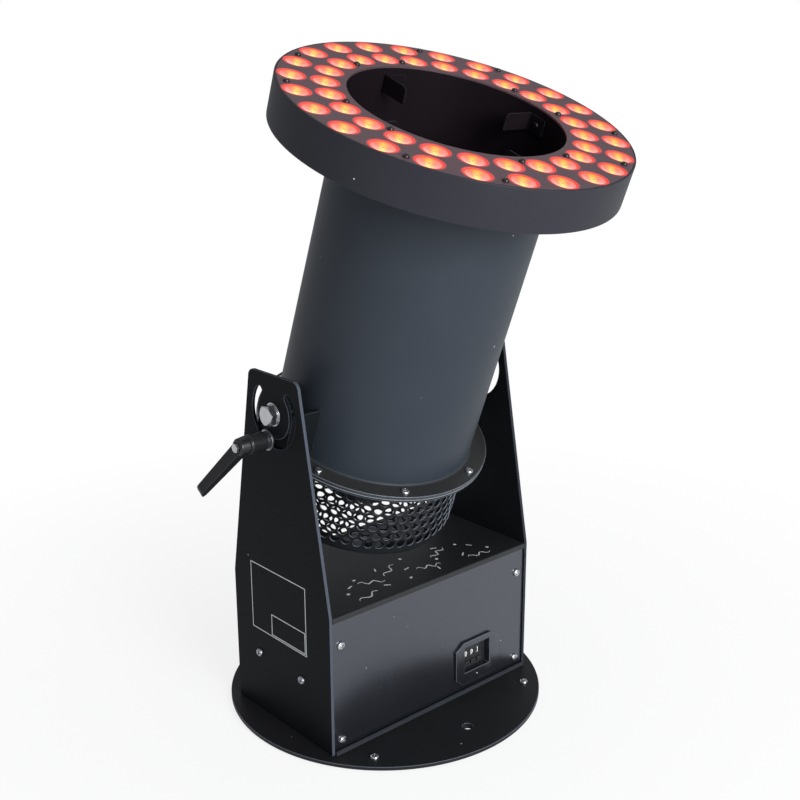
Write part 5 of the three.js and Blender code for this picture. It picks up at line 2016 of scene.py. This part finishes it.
@dataclass
class IntakeBasket(Assembly):
    """The perforated intake basket: its wall and floor of one pressed sheet, and its flange."""

    radius: float = 95.0 * MM
    columns: int = 56
    rows: int = 7
    row_pitch: float = 9.75 * MM
    lowest_row: float = -110.5 * MM
    hole: float = 4.45 * MM
    hole_sides: int = 12
    top_margin: float = 4.6 * MM
    sheet: float = 0.9 * MM
    corner: float = 2.0 * MM
    floor_pitch: float = 10.7 * MM
    floor_margin: float = 8.0 * MM
    flange: float = 2.6 * MM
    flange_edge: float = 0.6 * MM
    sides: int = 160

    def build(self) -> None:
        """Build the basket, with the rims of its holes and its flange's corners marked for a painted
        highlight.
        """
        low, high = self.box("intake_basket")
        bm = bmesh.new()
        in_hole = bm.verts.layers.int.new(HOLE_LAYER)
        self._wall(bm, high.z)
        self._floor(bm, low.z)
        clean(bm)
        bmesh.ops.solidify(bm, geom=bm.faces[:], thickness=self.sheet)
        mark = bm.faces.layers.float.new(EDGE_HIGHLIGHT_LAYER)
        # Painted highlight on the rims of the holes.
        for face in bm.faces:
            face[mark] = float(all(v[in_hole] for v in face.verts))
        bm.verts.layers.int.remove(in_hole)
        ring = box_outline((self.radius - self.sheet, high.z - self.flange), (high.x, high.z))
        revolve(bm, rounded(ring, self.flange_edge, 3), self.sides)
        clean(bm)
        # Painted highlight on the flange's rim corners.
        for face in bm.faces:
            if face.calc_center_median().xy.length > high.x - MM and abs(face.normal.z) > UPRIGHT:
                face[mark] = 1.0
        self.piece("intake_basket_mesh", bm, MESH_SHADED_COAT, ["intake_basket"], smooth=50.0)

    def _cell(self, bm: BMesh, corners: Sequence[Point], centre: Point, height: float = 0.0) -> None:
        """Add one six-sided cell with a round hole in it.

        Args:
            bm: The mesh, with its hole layer.
            corners: The cell's corners from its centre.
            centre: The hole's centre.
            height: The cell's z.
        """
        in_hole = bm.verts.layers.int[HOLE_LAYER]
        ring: list[Point] = []
        for (ax, ay), (bx, by) in zip(corners, [*corners[1:], corners[0]]):
            ring += [(centre[0] + ax, centre[1] + ay),
                     (centre[0] + (ax + bx) * HALF, centre[1] + (ay + by) * HALF)]
        first = math.atan2(corners[0][1], corners[0][0])
        outer = loop(bm, ring, height)
        inner = loop(bm, circle(self.hole, self.hole_sides, centre, first), height)
        for vert in {v for e in inner for v in e.verts}:
            vert[in_hole] = 1
        bmesh.ops.bridge_loops(bm, edges=outer + inner)

    @staticmethod
    def _open_rim(bm: BMesh, height: float) -> list[BMEdge]:
        """Return the open edges at a height that aren't a hole's.

        Args:
            bm: The mesh, with its hole layer.
            height: The height.

        Returns:
            The edges.
        """
        in_hole = bm.verts.layers.int[HOLE_LAYER]
        return [
            e for e in bm.edges
            if e.is_boundary and all(abs(v.co.z - height) < 5 * NEAR and not v[in_hole] for v in e.verts)
        ]

    def _wall(self, bm: BMesh, high: float) -> None:
        """Lay out the wall's cells on a flat sheet, wrap them and carry them up into the flange.

        Args:
            bm: The mesh.
            high: The flange's upper z.
        """
        half = math.pi * self.radius / self.columns
        side, peak = self.row_pitch / 3, self.row_pitch * 2 / 3
        for row in range(self.rows):
            top_side, top = (self.top_margin,) * 2 if row == self.rows - 1 else (side, peak)
            low_side = peak if row == 0 else side
            corners = [
                (half, -low_side), (half, top_side), (0.0, top), (-half, top_side), (-half, -low_side),
                (0.0, -peak),
            ]
            for column in range(self.columns):
                spot = ((2 * column + row % 2) * half, self.lowest_row + row * self.row_pitch)
                self._cell(bm, corners, spot)
        for vert in bm.verts:
            angle = vert.co.x / self.radius
            vert.co = (self.radius * math.cos(angle), self.radius * math.sin(angle), vert.co.y)
        bmesh.ops.remove_doubles(bm, verts=bm.verts, dist=NEAR)
        top_row = self.lowest_row + (self.rows - 1) * self.row_pitch + self.top_margin
        skirt(bm, self._open_rim(bm, top_row), self.radius, high - self.flange * HALF)

    def _floor(self, bm: BMesh, low: float) -> None:
        """Round the wall's lower edge and close it with the perforated floor.

        Args:
            bm: The mesh.
            low: The floor's z.
        """
        edges = self._open_rim(bm, self.lowest_row - self.row_pitch * 2 / 3)
        for radius, height in arc(self.corner, 0, -90, 4, (self.radius - self.corner, low + self.corner)):
            edges = skirt(bm, edges, radius, height)
        pitch = self.floor_pitch
        corners = circle(pitch / math.sqrt(3), 6, phase=math.pi / 6)
        most = math.ceil(self.radius / pitch) + 1
        cells = bmesh.new()
        cells.verts.layers.int.new(HOLE_LAYER)
        for row in range(-most, most + 1):
            for column in range(-most, most + 1):
                x, y = (column + HALF * (row % 2)) * pitch, row * pitch * math.sqrt(3) * HALF
                if math.hypot(x, y) < self.radius - self.floor_margin - pitch * HALF:
                    self._cell(cells, corners, (x, y), low)
        bmesh.ops.remove_doubles(cells, verts=cells.verts, dist=NEAR)
        mesh = bpy.data.meshes.new("cells")
        cells.to_mesh(mesh)
        cells.free()
        known = set(bm.verts)
        bm.from_mesh(mesh)
        bpy.data.meshes.remove(mesh)
        inner = [e for e in self._open_rim(bm, low) if e.verts[0] not in known]
        fill(bm, edges + inner)


@dataclass(frozen=True)
class Lamp:
    """A square soft light."""

    name: str
    place: tuple[float, float, float]
    size: float
    power: float
    color: Color = (1.0, 1.0, 1.0)

    def build(self, aim: Vector) -> None:
        """Hang the lamp.

        Args:
            aim: The point that it faces.
        """
        data = bpy.data.lights.new(self.name, "AREA")
        data.shape = "SQUARE"
        data.size = self.size
        data.energy = self.power
        data.color = self.color
        lamp = show(self.name, data)
        lamp.location = self.place
        lamp.rotation_euler = (aim - Vector(self.place)).to_track_quat("-Z", "Y").to_euler()


@dataclass
class Studio:
    """The floor, the light and the camera."""

    camera_place: tuple[float, float, float] = (-0.6933, -0.8049, 0.6162)
    yaw: float = 41.59
    pitch: float = -16.72
    roll: float = -0.23
    lens: float = 53.54
    sensor: float = 36.0
    floor_half: float = 30.0
    floor_color: Color = (0.86, 0.86, 0.86)
    floor_gloss: float = 0.45
    shade_limits: tuple[Point, ...] = ((0.2, 0.82), (0.8, 1.0))
    sky_color: Color = (0.8, 0.83, 0.9)
    sky_strength: float = 0.4
    sky_gloss: float = 0.1
    white: Color = (1.0, 1.0, 1.0)
    aim: tuple[float, float, float] = (0.0, 0.0, 0.3)
    lamps: tuple[Lamp, ...] = (
        Lamp("key", (-0.35, -2.6, 1.05), 1.4, 112.0, (0.95, 0.98, 1.0)),
        Lamp("top", (0.1, 0.3, 2.4), 1.6, 4.0),
    )

    def build(self) -> None:
        """Build the studio: a soft even sky, a floor, a large key from the front and a weak top light."""
        self._world()
        self._floor()
        for lamp in self.lamps:
            lamp.build(Vector(self.aim))
        self._camera()

    @staticmethod
    def _seen(tree: NodeTree, gloss: float) -> Socket:
        """Tell the rays that see the white background from those that carry light.

        Args:
            tree: The node tree.
            gloss: How much of the background the reflections show.

        Returns:
            1 for rays that see the background, the gloss value for reflections and 0 for the others.
        """
        path = tree.add("LightPath").outputs
        seen = tree.math("MAXIMUM", path["Is Camera Ray"], path["Is Transmission Ray"])
        return tree.math("MAXIMUM", seen, tree.math("MULTIPLY", path["Is Glossy Ray"], gloss))

    def _world(self) -> None:
        """Light with a soft even sky that shows as white."""
        world = bpy.data.worlds.new("studio_sky")
        bpy.context.scene.world = world
        tree = NodeTree.fresh(world)
        soft, white = tree.add("Background"), tree.add("Background")
        tree.feed_all(soft, {"Color": self.sky_color, "Strength": self.sky_strength})
        tree.feed_all(white, {"Color": self.white})
        mixed = tree.mix_shaders(self._seen(tree, self.sky_gloss), soft.outputs[0], white.outputs[0])
        tree.feed_all(tree.add("OutputWorld"), {"Surface": mixed})

    def _floor(self) -> None:
        """Lay a plain pale floor that shows as white further out and keeps the object's shadow."""
        bm = bmesh.new()
        bmesh.ops.create_grid(bm, x_segments=1, y_segments=1, size=self.floor_half)
        floor = mesh_object("floor", bm)
        material = bpy.data.materials.new("floor_white")
        floor.data.materials.append(material)
        tree = NodeTree.fresh(material)
        lit, white = tree.add("BsdfDiffuse"), tree.add("Emission")
        tree.feed_all(lit, {"Color": self.floor_color})
        tree.feed_all(white, {"Color": self.white})
        distance = tree.add("VectorMath", operation="LENGTH")
        tree.feed(distance.inputs[0], tree.add("TexCoord").outputs["Object"])
        (near, least), (far, most) = self.shade_limits
        share = tree.add("MapRange", clamp=True)
        tree.feed_all(share, {
            "Value": distance.outputs["Value"], "From Min": near, "From Max": far, "To Min": least,
            "To Max": most,
        })
        seen = tree.math("MULTIPLY", self._seen(tree, self.floor_gloss), share.outputs["Result"])
        mixed = tree.mix_shaders(seen, lit.outputs[0], white.outputs[0])
        tree.feed_all(tree.add("OutputMaterial"), {"Surface": mixed})

    def _camera(self) -> None:
        """Set up the camera at the photograph's viewing angle."""
        data = bpy.data.cameras.new("camera")
        data.lens = self.lens
        data.sensor_width = self.sensor
        data.sensor_fit = "HORIZONTAL"
        camera = show("camera", data)
        upright = Matrix.Rotation(QUARTER_TURN + math.radians(self.pitch), 4, "X")
        turn = turn_z(-self.yaw) @ upright @ turn_z(self.roll)
        camera.matrix_world = Matrix.Translation(self.camera_place) @ turn
        bpy.context.scene.camera = camera


def barrel_axes(joints: Sequence[dict]) -> Matrix:
    """Return the barrel's own axes: the tilt pivot, with +Z along the fan's axis.

    Args:
        joints: The frame's joints.

    Returns:
        The matrix from the barrel's axes to the frame's.
    """
    found = {joint["name"]: joint for joint in joints}
    pivot = Vector(found["tilt"]["pos_m"])
    along = Vector(found["fan_spin"]["axis"])
    tilt = math.atan2(-along.y, along.z)
    return Matrix.Translation(pivot) @ Matrix.Rotation(tilt, 4, "X")


def main() -> None:
    """Load the frame, dress every sub-assembly and set up the studio."""
    logging.basicConfig(level=logging.INFO, format="%(message)s")
    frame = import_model()
    bpy.context.scene.view_settings.view_transform = "Standard"
    groups = SurfaceGroup()
    nodes = frame["nodes"]
    axes = barrel_axes(frame["joints"])
    Studio().build()
    ControlBox(nodes, groups, pivot_height=axes.translation.z).build()
    for kind in (BasePlate, AddressSwitch, RearSockets, Electronics):
        kind(nodes, groups).build()
    for kind in (Barrel, LedRing, Pivot, ClampLever, Fan, IntakeBasket):
        kind(nodes, groups, axes, "barrel").build()


if __name__ == "__main__":
    main()
